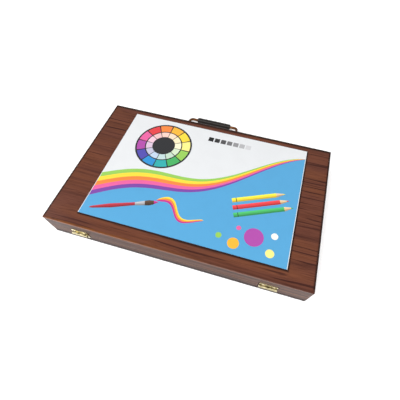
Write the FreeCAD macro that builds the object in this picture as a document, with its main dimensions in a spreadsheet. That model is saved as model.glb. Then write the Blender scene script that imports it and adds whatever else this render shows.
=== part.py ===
# Art case: a flat wooden case with a hinged lid, two latches, a swinging handle and two fitted
# trays of drawing supplies. Millimetres; origin at the centre of the underside, +Z up, +X along
# the long sides, hinges on the -Y side (rear), handle and latches on the +Y side (front).
import FreeCAD
import Part
import math
import os
import re
import Sketcher
from FreeCAD import Placement, Rotation, Vector

# Each driving size: its name, its value and what it measures.
SIZES = [
    ("case_width", "380", "outside, left to right"),
    ("case_depth", "236", "outside, rear to front"),
    ("case_height", "44", "outside, without the card on the lid"),
    ("base_height", "19.5", "underside to the base's rim"),
    ("parting_gap", "0.3", "between the two rims when closed"),
    ("wall_thickness", "7", "base and lid walls"),
    ("panel_thickness", "3", "bottom and top panels"),
    ("panel_edge_round", "0.8", "rounding of the panels' outer edges"),
    ("corner_round", "1.6", "rounding of the case's upright corners"),
    ("label_width", "297.5", "printed card, left to right"),
    ("label_depth", "203.5", "printed card, rear to front"),
    ("label_thickness", "1.2", "printed card"),
    ("label_shift_x", "3.4", "card's centre right of the case's"),
    ("label_shift_y", "4.3", "card's centre in front of the case's"),
    ("hinge_inset", "52.25", "case's end to a hinge's centre"),
    ("hinge_shift", "-2.25", "middle of the two hinges right of the case's"),
    ("hinge_width", "24.5", "leaf and barrel, along the case"),
    ("hinge_reach", "8.4", "pin to a leaf's far edge"),
    ("leaf_thickness", "0.7", "hinge leaf"),
    ("barrel_diameter", "3.6", "hinge barrel"),
    ("barrel_standoff", "0.25", "rear wall to the barrel"),
    ("knuckle_pairs", "2", "lid knuckles in a hinge, one fewer than base knuckles"),
    ("knuckle_gap", "0.2", "between neighbouring knuckles"),
    ("knuckle_room", "0.4", "barrel to a leaf's straight edge"),
    ("hinge_pin_diameter", "1.8", "hinge pin"),
    ("pin_clearance", "0.05", "pin to its bore, on the radius"),
    ("hinge_screw_spread", "14.5", "between the two screws of a leaf"),
    ("hinge_screw_drop", "5.2", "hinge pin to the screws"),
    ("screw_shank_diameter", "1.6", "hinge and bracket screws"),
    ("screw_length", "5", "under the head"),
    ("screw_head_diameter", "3.2", "hinge and bracket screws"),
    ("screw_head_height", "0.8", "hinge and bracket screws"),
    ("screw_slot_width", "0.5", "driver slot"),
    ("screw_slot_depth", "0.35", "driver slot"),
    ("shank_clearance", "0.05", "screw or nail to its hole, on the radius"),
    ("latch_inset", "60", "case's end to a latch's centre, where the handle leaves room"),
    ("latch_gap", "6", "handle's bracket to a latch's plates, at least"),
    ("latch_width", "22", "base plate and keeper"),
    ("latch_plate_thickness", "0.8", "base plate and keeper"),
    ("latch_reach", "9.5", "latch pin to the base plate's lower edge"),
    ("latch_axis_height", "14.5", "underside to the latch pin"),
    ("latch_barrel_diameter", "3", "latch barrel"),
    ("latch_standoff", "0.15", "front wall to the latch barrel, at least"),
    ("latch_pin_diameter", "1.3", "latch pin"),
    ("tongue_width", "14", "latch tongue"),
    ("tongue_length", "16.5", "latch pin to the tongue's end, if that leaves the web"),
    ("tongue_web", "0.8", "tongue's window to its rounded end, at least"),
    ("tongue_thickness", "0.9", "latch tongue"),
    ("tongue_gap", "0.4", "keeper plate to the tongue"),
    ("tongue_lip_diameter", "1.8", "rolled lip for the finger"),
    ("tongue_lip_length", "8", "rolled lip for the finger"),
    ("keeper_height", "11", "keeper plate"),
    ("keeper_rise", "1.4", "lid's rim to the keeper plate"),
    ("nose_width", "6", "keeper's nose"),
    ("nose_height", "3.2", "keeper's nose"),
    ("nose_overhang", "0.8", "nose beyond the tongue's face"),
    ("nose_clearance", "0.7", "nose to the tongue's window"),
    ("nail_shank_diameter", "1.2", "latch nails"),
    ("nail_length", "4", "under the head"),
    ("nail_head_diameter", "2.2", "latch nails"),
    ("nail_head_height", "0.5", "latch nails"),
    ("nail_inset", "2.4", "nail to the plate's side edge"),
    ("handle_shift", "-22", "handle's centre right of the case's"),
    ("pivot_span", "122", "between the two brackets' eyes"),
    ("grip_corner_span", "89", "between the bail's outer corners"),
    ("handle_reach", "39.9", "pivot to the grip's axis"),
    ("handle_axis_height", "10", "underside to the pivots"),
    ("rod_diameter", "4.5", "bail"),
    ("rod_bend_radius", "4.5", "bail's bends, on its axis"),
    ("rod_overhang", "0.8", "bail's end beyond its eye"),
    ("leg_clearance", "0.4", "bail to the bracket, its eye and its screws"),
    ("grip_diameter", "9.8", "grip sleeve"),
    ("grip_length", "64", "grip sleeve"),
    ("grip_round", "1.3", "bevel on the sleeve's ends"),
    ("grip_clearance", "0.05", "bail to the sleeve, on the radius"),
    ("table_clearance", "0.05", "grip above the surface that the case lies on"),
    ("bracket_width", "18", "bracket plate, along the case"),
    ("bracket_height", "12", "bracket plate"),
    ("bracket_thickness", "1", "bracket plate"),
    ("bracket_screw_spread", "13", "between the two screws of a bracket"),
    ("eye_diameter", "8", "bracket's eye"),
    ("eye_length", "5", "bracket's eye, along the pivot"),
    ("eye_clearance", "0.08", "bail to its eye, on the radius"),
    ("tray_clearance", "0.4", "tray to the walls"),
    ("sheet_thickness", "0.8", "trays' formed sheet"),
    ("base_tray_recess", "3", "base's rim down to its tray"),
    ("lid_tray_recess", "1.8", "lid's rim up to its tray"),
    ("tray_margin", "8", "tray's edge to the nearest well"),
    ("well_clearance", "0.3", "a supply to its well"),
    ("pastel_diameter", "10", "over the wrapper"),
    ("pastel_length", "70", "oil pastel"),
    ("pastel_pitch", "13.2", "between neighbouring pastels"),
    ("pastel_sink", "3.4", "tray to a pastel's axis"),
    ("pastel_taper", "4", "length of the tapered tip"),
    ("wrapper_thickness", "0.2", "pastel's paper wrapper"),
    ("wrapper_bare", "9", "stick left bare at each end"),
    ("wrapper_clearance", "0.02", "stick to its wrapper, on the radius"),
    ("trough_width", "26", "finger trough between the rows of pastels"),
    ("cake_length", "30", "watercolour cake, along the case"),
    ("cake_width", "22", "watercolour cake, across the case"),
    ("cake_height", "5.2", "watercolour cake"),
    ("cake_round", "1", "rounding of a cake's upper edges"),
    ("cake_sink", "0.6", "tray to a cake's top"),
    ("cake_pitch_x", "41", "between neighbouring cakes, along the case"),
    ("cake_pitch_y", "32", "between neighbouring cakes, across the case"),
    ("pencil_width", "7.2", "pencil across its corners"),
    ("pencil_length", "175", "pencil with its point"),
    ("pencil_pitch", "10.4", "between neighbouring pencils"),
    ("pencil_sink", "3.5", "tray to a pencil's axis"),
    ("pencil_count", "24", "coloured pencils"),
    ("pencil_group", "8", "coloured pencils in a group"),
    ("pencil_group_gap", "9", "extra space between groups"),
    ("graphite_count", "2", "graphite pencils"),
    ("cone_length", "20", "sharpened end with its point"),
    ("lead_diameter", "2.2", "pencil lead"),
    ("lead_bare", "5", "length of the bare lead"),
    ("lead_tip_diameter", "0.6", "blunt point of the lead"),
    ("lead_clearance", "0.02", "lead to its barrel, on the radius"),
    ("brush_count", "2", "paint brushes"),
    ("brush_pitch", "12", "between neighbouring brushes"),
    ("brush_handle_length", "118", "without its tenon"),
    ("brush_handle_diameter", "6.6", "at the swell"),
    ("brush_end_diameter", "3", "at the free end"),
    ("brush_swell_share", "0.72", "of the handle's length, free end to the swell"),
    ("ferrule_length", "26", "brush ferrule"),
    ("ferrule_diameter", "5.4", "brush ferrule"),
    ("ferrule_thickness", "0.3", "brush ferrule"),
    ("ferrule_clearance", "0.03", "tenon and tuft to the ferrule, on the radius"),
    ("tenon_length", "12", "brush handle in its ferrule"),
    ("tuft_root", "8", "tuft in its ferrule"),
    ("tuft_length", "18", "tuft beyond its ferrule"),
    ("tuft_belly_share", "0.9", "of the tuft's root radius, halfway along"),
    ("tuft_tip_diameter", "1", "blunt end of the tuft"),
    ("eraser_length", "40", "across the case"),
    ("eraser_width", "22", "along the case"),
    ("eraser_height", "9", "eraser"),
    ("eraser_round", "1.5", "eraser's edges"),
    ("sharpener_length", "25", "across the case"),
    ("sharpener_width", "15", "along the case"),
    ("sharpener_height", "9", "sharpener's body"),
    ("sharpener_bore_diameter", "8.2", "pencil hole"),
    ("blade_length", "23", "sharpener's blade"),
    ("blade_width", "7", "sharpener's blade"),
    ("blade_thickness", "0.8", "sharpener's blade"),
    ("blade_clearance", "0.1", "blade to its recess"),
    ("blade_screw_diameter", "4", "head of the blade's screw"),
    ("blade_screw_height", "0.9", "head of the blade's screw"),
    ("blade_screw_shank_diameter", "2", "blade's screw"),
    ("blade_screw_length", "2.2", "under the head"),
    ("sanding_length", "110", "sanding block, across the case, where the tray has room"),
    ("sanding_width", "26", "sanding block, along the case"),
    ("sanding_height", "4.5", "sanding block's wood"),
    ("abrasive_length", "72", "abrasive sheet"),
    ("abrasive_thickness", "0.8", "abrasive sheet"),
    ("block_gap", "12", "between the sanding block, the eraser and the sharpener"),
    ("block_margin", "1.5", "tray's edge to those blocks, at least"),
    ("block_sink", "0.4", "lid's tray to the face of those blocks"),
    ("overrun", "1", "cutting tools beyond the faces that they cut"),
]

# Each derived size: its name and the formula that gives it.
LAYOUT = [
    ("half_width", "case_width / 2"),
    ("half_depth", "case_depth / 2"),
    ("lid_low", "base_height + parting_gap"),
    ("lid_high", "case_height - panel_thickness"),
    ("hinge_spread", "case_width - 2 * hinge_inset"),
    ("hinge_axis_y", "-half_depth - barrel_standoff - barrel_diameter / 2"),
    ("hinge_axis_z", "base_height + parting_gap / 2"),
    ("leaf_edge", "barrel_diameter / 2 + knuckle_room"),
    ("knuckle_pitch", "hinge_width / (2 * knuckle_pairs + 1)"),
    ("handle_half", "abs(handle_shift) + (pivot_span + bracket_width) / 2"),
    ("latch_spread", "max(case_width - 2 * latch_inset; 2 * (handle_half + latch_gap) + latch_width)"),
    ("latch_tongue_offset", "latch_plate_thickness + tongue_gap + tongue_thickness / 2"),
    ("latch_barrel_offset", "latch_barrel_diameter / 2 + latch_standoff"),
    ("latch_axis_y", "half_depth + max(latch_tongue_offset; latch_barrel_offset)"),
    ("latch_axis_z", "latch_axis_height"),
    ("latch_edge", "latch_barrel_diameter / 2 + knuckle_room"),
    ("latch_knuckle", "(latch_width - tongue_width) / 2 - knuckle_gap"),
    ("tongue_face_y", "latch_axis_y + tongue_thickness / 2"),
    ("keeper_low", "lid_low + keeper_rise"),
    ("nose_z", "keeper_low + keeper_height / 2 - nose_height / 2"),
    ("nose_depth", "tongue_face_y + nose_overhang - half_depth - latch_plate_thickness"),
    ("nose_low", "nose_z - latch_axis_z"),
    ("nose_high", "nose_low + nose_height"),
    ("tongue_half", "tongue_width / 2"),
    ("window_half", "nose_width / 2 + nose_clearance"),
    ("tongue_crown", "tongue_half - sqrt(tongue_half ^ 2 - window_half ^ 2)"),
    ("tongue_end", "max(tongue_length; nose_high + nose_clearance + tongue_web + tongue_crown)"),
    ("lip_high", "max(tongue_end - tongue_lip_diameter; nose_high + tongue_lip_diameter / 2)"),
    ("bracket_eye_offset", "bracket_thickness / 2 + eye_diameter / 2"),
    ("bracket_screw_offset", "bracket_thickness + screw_head_height + leg_clearance + rod_diameter / 2"),
    ("handle_axis_y", "half_depth + max(bracket_eye_offset; bracket_screw_offset)"),
    ("handle_axis_z", "handle_axis_height"),
    ("grip_z", "grip_diameter / 2 + table_clearance"),
    ("grip_y", "handle_axis_y + sqrt(handle_reach ^ 2 - (handle_axis_z - grip_z) ^ 2)"),
    ("tray_half_width", "half_width - wall_thickness - tray_clearance"),
    ("tray_half_depth", "half_depth - wall_thickness - tray_clearance"),
    ("base_tray_level", "base_height - base_tray_recess"),
    ("lid_tray_level", "lid_low + lid_tray_recess"),
    ("base_tray_room", "tray_half_width - 2 * tray_margin"),
    ("pastel_columns", "floor(base_tray_room / pastel_pitch)"),
    ("pastel_well_half", "pastel_diameter / 2 + well_clearance"),
    ("pastel_centre_x", "-tray_half_width / 2"),
    ("pastel_start_y", "trough_width / 2 + well_clearance"),
    ("pastel_depth", "pastel_sink + pastel_well_half"),
    ("pastel_axis_z", "base_tray_level - pastel_sink"),
    ("pastel_tub_width", "pastel_columns * pastel_pitch + 2 * sheet_thickness"),
    ("pastel_tub_depth", "trough_width + 2 * (pastel_length + 2 * well_clearance + sheet_thickness)"),
    ("cake_columns", "floor(base_tray_room / cake_pitch_x)"),
    ("cake_rows", "floor((2 * tray_half_depth - 2 * tray_margin) / cake_pitch_y)"),
    ("cake_centre_x", "tray_half_width / 2"),
    ("cake_depth", "cake_sink + cake_height + well_clearance"),
    ("pencil_well_half", "pencil_width / 2 + well_clearance"),
    ("pencil_axis_z", "lid_tray_level + pencil_sink"),
    ("pencil_depth", "pencil_sink + pencil_well_half"),
    ("barrel_length", "pencil_length - lead_bare"),
    ("brush_half", "brush_handle_diameter / 2"),
    ("brush_well_half", "brush_half + well_clearance"),
    ("brush_length", "brush_handle_length + ferrule_length + tuft_length"),
    ("brush_depth", "pencil_sink + brush_well_half"),
    ("ferrule_bore", "ferrule_diameter / 2 - ferrule_thickness"),
    ("block_x", "tray_half_width - tray_margin - sanding_width / 2"),
    ("sharpener_run", "max(sharpener_length; blade_length)"),
    ("block_rest", "eraser_length + sharpener_run + 2 * block_gap"),
    ("sanding_fit", "min(sanding_length; 2 * (tray_half_depth - block_margin) - block_rest)"),
    ("abrasive_fit", "min(abrasive_length; sanding_fit)"),
    ("block_run", "sanding_fit + block_rest"),
    ("sanding_y", "-block_run / 2 + sanding_fit / 2"),
    ("eraser_y", "-block_run / 2 + sanding_fit + block_gap + eraser_length / 2"),
    ("sharpener_y", "block_run / 2 - sharpener_run / 2"),
    ("block_z", "lid_tray_level + block_sink"),
    ("brush_last_x", "block_x - sanding_width / 2 - tray_margin - brush_well_half"),
    ("graphite_last_x", "brush_last_x - (brush_count - 1) * brush_pitch - brush_well_half - tray_margin"),
    ("pencil_first_x", "-tray_half_width + tray_margin + pencil_well_half"),
    ("long_length", "max(pencil_length; brush_length)"),
    ("long_low_x", "-tray_half_width + tray_margin / 2"),
    ("long_high_x", "brush_last_x + brush_well_half + sheet_thickness"),
    ("long_depth", "max(pencil_depth; brush_depth) + sheet_thickness"),
]

ALONG_X = Rotation(Vector(0, 1, 0), 90)
ALONG_Y = Rotation(Vector(1, 0, 0), -90)
AGAINST_Y = Rotation(Vector(1, 0, 0), 90)
UPRIGHT = Rotation()
HALF_TURN = Rotation(Vector(0, 0, 1), 180)
SIDES = (("left", "-1"), ("right", "1"))

doc = FreeCAD.newDocument("ArtCase")
home = {}
pieces = []


def fill_sheet(name, rows):
    """Write named sizes into a sheet, one per row: plain numbers, or formulas that name other sizes."""
    sheet = doc.addObject("Spreadsheet::Sheet", name)
    home.update((alias, name) for alias, text, meaning in rows)
    for row, (alias, text, meaning) in enumerate(rows, 1):
        sheet.set("A%d" % row, alias)
        sheet.set("B%d" % row, formula(text))
        sheet.setAlias("B%d" % row, alias)
        sheet.set("C%d" % row, meaning)


def formula(text):
    """Put its sheet's name in front of each size that a formula names."""
    return re.sub(r"[a-z]\w*", lambda word: ".".join(filter(None, (home.get(word[0]), word[0]))), text)


def value(name):
    """One named size as a number."""
    return float(doc.getObject(home[name]).get(name))


def tie(item, **formulas):
    """Bind properties of an object to formulas in named sizes."""
    for name, text in formulas.items():
        item.setExpression(name, formula(text))
    return item


def place(item, x, y, z, turn=UPRIGHT):
    """Bind an object's position to three formulas, with a fixed turn."""
    item.Placement = Placement(Vector(), turn)
    for axis, text in zip("xyz", (x, y, z)):
        item.setExpression("Placement.Base." + axis, formula(text))
    return item


def block(name, length, width, height, x, y, z):
    """A block centred on x and y and standing on z."""
    item = doc.addObject("Part::Box", name)
    tie(item, Length=length, Width=width, Height=height)
    return place(item, f"{x} - ({length}) / 2", f"{y} - ({width}) / 2", z)


def rod(name, radius, length, x, y, z, turn):
    """A cylinder that starts at a point and runs along its turned axis."""
    item = doc.addObject("Part::Cylinder", name)
    tie(item, Radius=radius, Height=length)
    return place(item, x, y, z, turn)


def join(name, items):
    """One solid from overlapping ones."""
    item = doc.addObject("Part::MultiFuse", name)
    item.Shapes = items
    item.Refine = True
    return item


def bundle(name, items):
    """Separate solids under one name."""
    item = doc.addObject("Part::Compound", name)
    item.Links = items
    return item


def cut(name, base, tools):
    """A solid less one or more tools that don't meet each other."""
    item = doc.addObject("Part::Cut", name)
    item.Base = base
    item.Tool = tools[0] if len(tools) == 1 else bundle(name + "_tools", tools)
    return item


def keep(item, label):
    """Give a finished sub-part the name that its file takes."""
    item.Label = label
    pieces.append(item)
    return item


def copies(label, pattern, places):
    """Separate solids: one pattern repeated at several placements."""
    doc.recompute()
    solids = []
    for spot in places:
        solid = pattern.Shape.copy()
        solid.Placement = spot.multiply(pattern.Shape.Placement)
        solids.append(solid)
    item = doc.addObject("Part::Feature", label)
    item.Shape = Part.makeCompound(solids)
    item.Placement = Placement()
    return item


def start_body(name):
    """An empty body."""
    return doc.addObject("PartDesign::Body", name)


def start_sketch(owner, plane, lift="0"):
    """A sketch on one of its own body's planes, lifted along the plane's normal."""
    sketch = owner.newObject("Sketcher::SketchObject", owner.Name + "_sketch")
    support = [feature for feature in owner.Origin.OriginFeatures if feature.Role == plane]
    sketch.AttachmentSupport = [(support[0], "")]
    sketch.MapMode = "FlatFace"
    tie(sketch, **{"AttachmentOffset.Base.z": lift})
    return sketch


def bind_point(sketch, line, end, x, y):
    """Tie one end of a sketch line to two formulas, starting from where it was drawn."""
    drawn = sketch.getPoint(line, end)
    for kind, text, start in (("DistanceX", x, drawn.x), ("DistanceY", y, drawn.y)):
        index = sketch.addConstraint(Sketcher.Constraint(kind, -1, 1, line, end, start))
        sketch.setExpression("Constraints[%d]" % index, formula(text))


def polygon(sketch, corners):
    """A closed outline of straight lines whose corners are formulas."""
    first = sketch.GeometryCount
    count = len(corners)
    turns = [2 * math.pi * step / count for step in range(count + 1)]
    guesses = [Vector(math.cos(turn), math.sin(turn), 0) for turn in turns]
    for step in range(count):
        sketch.addGeometry(Part.LineSegment(guesses[step], guesses[step + 1]), False)
    for step in range(count):
        following = first + (step + 1) % count
        sketch.addConstraint(Sketcher.Constraint("Coincident", first + step, 2, following, 1))
    for step, (x, y) in enumerate(corners):
        bind_point(sketch, first + step, 1, x, y)


def rectangle(sketch, half_x, low_y, high_y):
    """A rectangle centred on the sketch's upright axis."""
    polygon(sketch, [(f"-({half_x})", low_y), (half_x, low_y), (half_x, high_y), (f"-({half_x})", high_y)])


def rounded_strip(sketch, half, straight):
    """A strip that starts on the sketch's level axis and ends in a half circle."""
    left = sketch.addGeometry(Part.LineSegment(Vector(-1, 0, 0), Vector(-1, 1, 0)), False)
    circle = Part.Circle(Vector(0, 1, 0), Vector(0, 0, 1), 1)
    bend = sketch.addGeometry(Part.ArcOfCircle(circle, 0, math.pi), False)
    right = sketch.addGeometry(Part.LineSegment(Vector(1, 1, 0), Vector(1, 0, 0)), False)
    foot = sketch.addGeometry(Part.LineSegment(Vector(1, 0, 0), Vector(-1, 0, 0)), False)
    meetings = ((left, 2, bend, 2), (bend, 1, right, 1), (right, 2, foot, 1), (foot, 2, left, 1))
    for one, one_end, two, two_end in meetings:
        sketch.addConstraint(Sketcher.Constraint("Coincident", one, one_end, two, two_end))
    bind_point(sketch, left, 1, f"-({half})", "0")
    bind_point(sketch, left, 2, f"-({half})", straight)
    bind_point(sketch, right, 1, half, straight)
    bind_point(sketch, right, 2, half, "0")
    index = sketch.addConstraint(Sketcher.Constraint("DistanceY", -1, 1, bend, 3, 1.0))
    sketch.setExpression("Constraints[%d]" % index, formula(straight))


def pad(owner, sketch, length):
    """Raise a sketch into a solid."""
    item = owner.newObject("PartDesign::Pad", owner.Name + "_pad")
    item.Profile = sketch
    return tie(item, Length=length)


def turned(name, corners):
    """A solid turned about its own upright axis, from a half outline of radius and height."""
    owner = start_body(name)
    sketch = start_sketch(owner, "XZ_Plane")
    polygon(sketch, corners)
    item = owner.newObject("PartDesign::Revolution", name + "_turn")
    item.Profile = sketch
    item.ReferenceAxis = (sketch, ["V_Axis"])
    item.Angle = 360
    return owner


def soften(owner, face_normal, radius):
    """Round the edges of the body's face that looks along a direction."""
    doc.recompute()
    base = owner.Tip
    for index, face in enumerate(base.Shape.Faces, 1):
        if face.normalAt(0, 0).isEqual(face_normal, 1e-6):
            chosen = "Face%d" % index
    item = owner.newObject("PartDesign::Fillet", owner.Name + "_round")
    item.Base = (base, [chosen])
    return tie(item, Radius=radius)


def case_outline(name, height):
    """The case's outline as a solid, with its upright corners rounded."""
    owner = start_body(name)
    rectangle(start_sketch(owner, "XY_Plane"), "half_width", "-half_depth", "half_depth")
    pad(owner, owner.Group[-1], height)
    doc.recompute()
    uprights = ["Edge%d" % index for index, edge in enumerate(owner.Tip.Shape.Edges, 1)
                if edge.tangentAt(edge.FirstParameter).cross(Vector(0, 0, 1)).Length < 1e-6]
    item = owner.newObject("PartDesign::Fillet", name + "_corners")
    item.Base = (owner.Group[-2], uprights)
    tie(item, Radius="corner_round")
    return owner


def wall(name, length, low, high, x, y, turn, holes, outline):
    """A wall mitred at both ends, with blind holes for screws or nails."""
    owner = start_body(name + "_board")
    sketch = start_sketch(owner, "XY_Plane")
    outer = f"({length}) / 2"
    inner = f"({length}) / 2 - wall_thickness"
    polygon(sketch, [(f"-({outer})", "0"), (outer, "0"),
                     (inner, "wall_thickness"), (f"-({inner})", "wall_thickness")])
    pad(owner, sketch, f"{high} - ({low})")
    place(owner, x, y, low, turn)
    rounded = doc.addObject("Part::MultiCommon", name + "_rounded")
    rounded.Shapes = [owner, outline]
    keep(cut(name + "_drilled", rounded, holes) if holes else rounded, name)


def walls(half, low, high, rear_holes, front_holes):
    """The four walls of the base or the lid."""
    quarter = Rotation(Vector(0, 0, 1), 90)
    back_quarter = Rotation(Vector(0, 0, 1), -90)
    outline = case_outline(half + "_outline", "case_height")
    wall(half + "_rear_wall", "case_width", low, high, "0", "-half_depth", UPRIGHT, rear_holes, outline)
    wall(half + "_front_wall", "case_width", low, high, "0", "half_depth", HALF_TURN, front_holes, outline)
    wall(half + "_left_wall", "case_depth", low, high, "-half_width", "0", back_quarter, [], outline)
    wall(half + "_right_wall", "case_depth", low, high, "half_width", "0", quarter, [], outline)


def panel(name, low, face_normal):
    """A panel over the whole case, rounded along the edges of its outer face."""
    owner = case_outline(name + "_board", "panel_thickness")
    soften(owner, face_normal, "panel_edge_round")
    place(owner, "0", "0", low)
    keep(owner, name)


def label_card():
    """The printed card on the lid."""
    owner = start_body("card")
    sketch = start_sketch(owner, "XY_Plane")
    rectangle(sketch, "label_width / 2", "-label_depth / 2", "label_depth / 2")
    pad(owner, sketch, "label_thickness")
    place(owner, "label_shift_x", "label_shift_y", "case_height")
    keep(owner, "label_card")


def pairs(spread, offset, shift="0"):
    """Positions along the case of two fasteners at each of two fittings."""
    fittings = [f"{shift} + {sign} * {spread} / 2" for side, sign in SIDES]
    return [f"{fitting} + {sign} * {offset}" for fitting in fittings for side, sign in SIDES]


def pilot_holes(name, kind, positions, face_y, z, turn):
    """Blind holes in a wall, each from outside the wall's fitting to a fastener's end."""
    outward = "-" if turn is ALONG_Y else "+"
    depth = f"{kind}_length + shank_clearance + overrun"
    radius = f"{kind}_shank_diameter / 2 + shank_clearance"
    holes = []
    for index, x in enumerate(positions):
        holes.append(rod(f"{name}_{index}", radius, depth, x, f"{face_y} {outward} overrun", z, turn))
    return holes


def fasteners(label, pattern, holes, turn):
    """One fastener in each hole, its head on the fitting's face."""
    doc.recompute()
    run = turn.multVec(Vector(0, 0, value("overrun")))
    places = [Placement(hole.Placement.Base + run, turn) for hole in holes]
    keep(copies(label, pattern, places), label)


def fastener(kind, slotted):
    """A round-headed screw or nail, its shank along the upright axis and its head below zero."""
    head = f"{kind}_head_diameter / 2"
    shank = f"{kind}_shank_diameter / 2"
    top = f"-{kind}_head_height"
    length = f"{kind}_length"
    corners = [("0", top), (f"{head} / 2", top), (head, f"{top} / 3"), (head, "0"), (shank, "0"),
               (shank, f"{length} - {shank}"), ("0", length)]
    body = turned(kind, corners)
    if not slotted:
        return body
    slot = block(kind + "_slot", f"2 * ({head}) + overrun", "screw_slot_width", "screw_slot_depth + overrun",
                 "0", "0", f"{top} - overrun")
    return cut(kind + "_slotted", body, [slot])


def leaf(name, x, wall_y, sign_y, sign_z, axis_y, axis_z, sizes, knuckles, holes):
    """A plate on a wall with knuckles round a pin. Signs say which way the plate faces and lies."""
    width, reach, edge, thick, barrel, pin = sizes
    low = axis_z if sign_z > 0 else f"{axis_z} - {reach}"
    plate_low = f"{axis_z} + {edge}" if sign_z > 0 else low
    mid_y = f"{wall_y} + ({sign_y}) * {thick} / 2"
    solids = [block(name + "_plate", width, thick, f"{reach} - {edge}", x, mid_y, plate_low)]
    for index, (start, length) in enumerate(knuckles):
        middle = f"{start} + ({length}) / 2"
        solids.append(block(f"{name}_strap_{index}", length, thick, reach, middle, mid_y, low))
        solids.append(rod(f"{name}_knuckle_{index}", f"{barrel} / 2", length, start, axis_y, axis_z, ALONG_X))
    whole = join(name + "_whole", solids)
    bore = rod(name + "_bore", f"{pin} / 2 + pin_clearance", f"{width} + 2 * overrun",
               f"{x} - {width} / 2 - overrun", axis_y, axis_z, ALONG_X)
    return keep(cut(name + "_drilled", whole, [bore] + holes), name)


def hinges(base_holes, lid_holes):
    """Two brass hinges: base leaf, lid leaf and pin each."""
    sizes = ("hinge_width", "hinge_reach", "leaf_edge", "leaf_thickness", "barrel_diameter",
             "hinge_pin_diameter")
    knuckle_total = 2 * int(value("knuckle_pairs")) + 1
    for number, (side, sign) in enumerate(SIDES):
        name = f"hinge_{side}"
        x = f"hinge_shift + {sign} * hinge_spread / 2"
        knuckles = []
        for index in range(knuckle_total):
            start = f"{x} - hinge_width / 2 + {index} * knuckle_pitch + knuckle_gap / 2"
            knuckles.append((start, "knuckle_pitch - knuckle_gap"))
        own = slice(2 * number, 2 * number + 2)
        spot = ("hinge_axis_y", "hinge_axis_z")
        leaf(name + "_base_leaf", x, "-half_depth", -1, -1, *spot, sizes, knuckles[0::2], base_holes[own])
        leaf(name + "_lid_leaf", x, "-half_depth", -1, 1, *spot, sizes, knuckles[1::2], lid_holes[own])
        pin = rod(name + "_pin_rod", "hinge_pin_diameter / 2", "hinge_width", f"{x} - hinge_width / 2",
                  *spot, ALONG_X)
        keep(pin, name + "_pin")


def latch_tongue(name, x):
    """A tongue with a window for the keeper's nose, a rolled lip and a knuckle."""
    owner = start_body(name + "_strip")
    sketch = start_sketch(owner, "XZ_Plane", "-tongue_thickness / 2")
    rounded_strip(sketch, "tongue_half", "tongue_end - tongue_half")
    rectangle(sketch, "window_half", "nose_low - nose_clearance", "nose_high + nose_clearance")
    pad(owner, sketch, "tongue_thickness")
    place(owner, x, "latch_axis_y", "latch_axis_z")
    knuckle = rod(name + "_knuckle", "latch_barrel_diameter / 2", "tongue_width", f"{x} - tongue_width / 2",
                  "latch_axis_y", "latch_axis_z", ALONG_X)
    lip = rod(name + "_lip", "tongue_lip_diameter / 2", "tongue_lip_length", f"{x} - tongue_lip_length / 2",
              "tongue_face_y", "latch_axis_z + lip_high", ALONG_X)
    bore = rod(name + "_bore", "latch_pin_diameter / 2 + pin_clearance", "tongue_width + 2 * overrun",
               f"{x} - tongue_width / 2 - overrun", "latch_axis_y", "latch_axis_z", ALONG_X)
    keep(cut(name + "_bored", join(name + "_whole", [owner, knuckle, lip]), [bore]), name)


def latches(base_holes, keeper_holes):
    """Two latches: base plate, tongue, pin and keeper each."""
    sizes = ("latch_width", "latch_reach", "latch_edge", "latch_plate_thickness", "latch_barrel_diameter",
             "latch_pin_diameter")
    for number, (side, sign) in enumerate(SIDES):
        name = f"latch_{side}"
        x = f"{sign} * latch_spread / 2"
        knuckles = [(f"{x} - latch_width / 2", "latch_knuckle"),
                    (f"{x} + latch_width / 2 - latch_knuckle", "latch_knuckle")]
        own = slice(2 * number, 2 * number + 2)
        leaf(name + "_base_plate", x, "half_depth", 1, -1, "latch_axis_y", "latch_axis_z", sizes, knuckles,
             base_holes[own])
        latch_tongue(name + "_tongue", x)
        pin = rod(name + "_pin_rod", "latch_pin_diameter / 2", "latch_width", f"{x} - latch_width / 2",
                  "latch_axis_y", "latch_axis_z", ALONG_X)
        keep(pin, name + "_pin")
        plate = block(name + "_keeper_plate", "latch_width", "latch_plate_thickness", "keeper_height", x,
                      "half_depth + latch_plate_thickness / 2", "keeper_low")
        nose = block(name + "_keeper_nose", "nose_width", "nose_depth", "nose_height", x,
                     "half_depth + latch_plate_thickness + nose_depth / 2", "nose_z")
        keeper = join(name + "_keeper_whole", [plate, nose])
        keep(cut(name + "_keeper_drilled", keeper, keeper_holes[own]), name + "_keeper")


def bent_rod(points, bend, radius):
    """A round rod along straight runs joined by arcs of one radius."""
    edges = []
    start = points[0]
    for before, corner, after in zip(points, points[1:], points[2:]):
        back = (before - corner).normalize()
        ahead = (after - corner).normalize()
        half_angle = back.getAngle(ahead) / 2
        tangent = bend / math.tan(half_angle)
        inward = (back + ahead).normalize()
        arc_start = corner + back * tangent
        arc_end = corner + ahead * tangent
        arc_middle = corner + inward * (bend / math.sin(half_angle) - bend)
        edges.append(Part.LineSegment(start, arc_start).toShape())
        edges.append(Part.Arc(arc_start, arc_middle, arc_end).toShape())
        start = arc_end
    edges.append(Part.LineSegment(start, points[-1]).toShape())
    section = Part.Wire([Part.Circle(points[0], points[1] - points[0], radius).toShape()])
    return Part.Wire(edges).makePipeShell([section], True, False)


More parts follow.
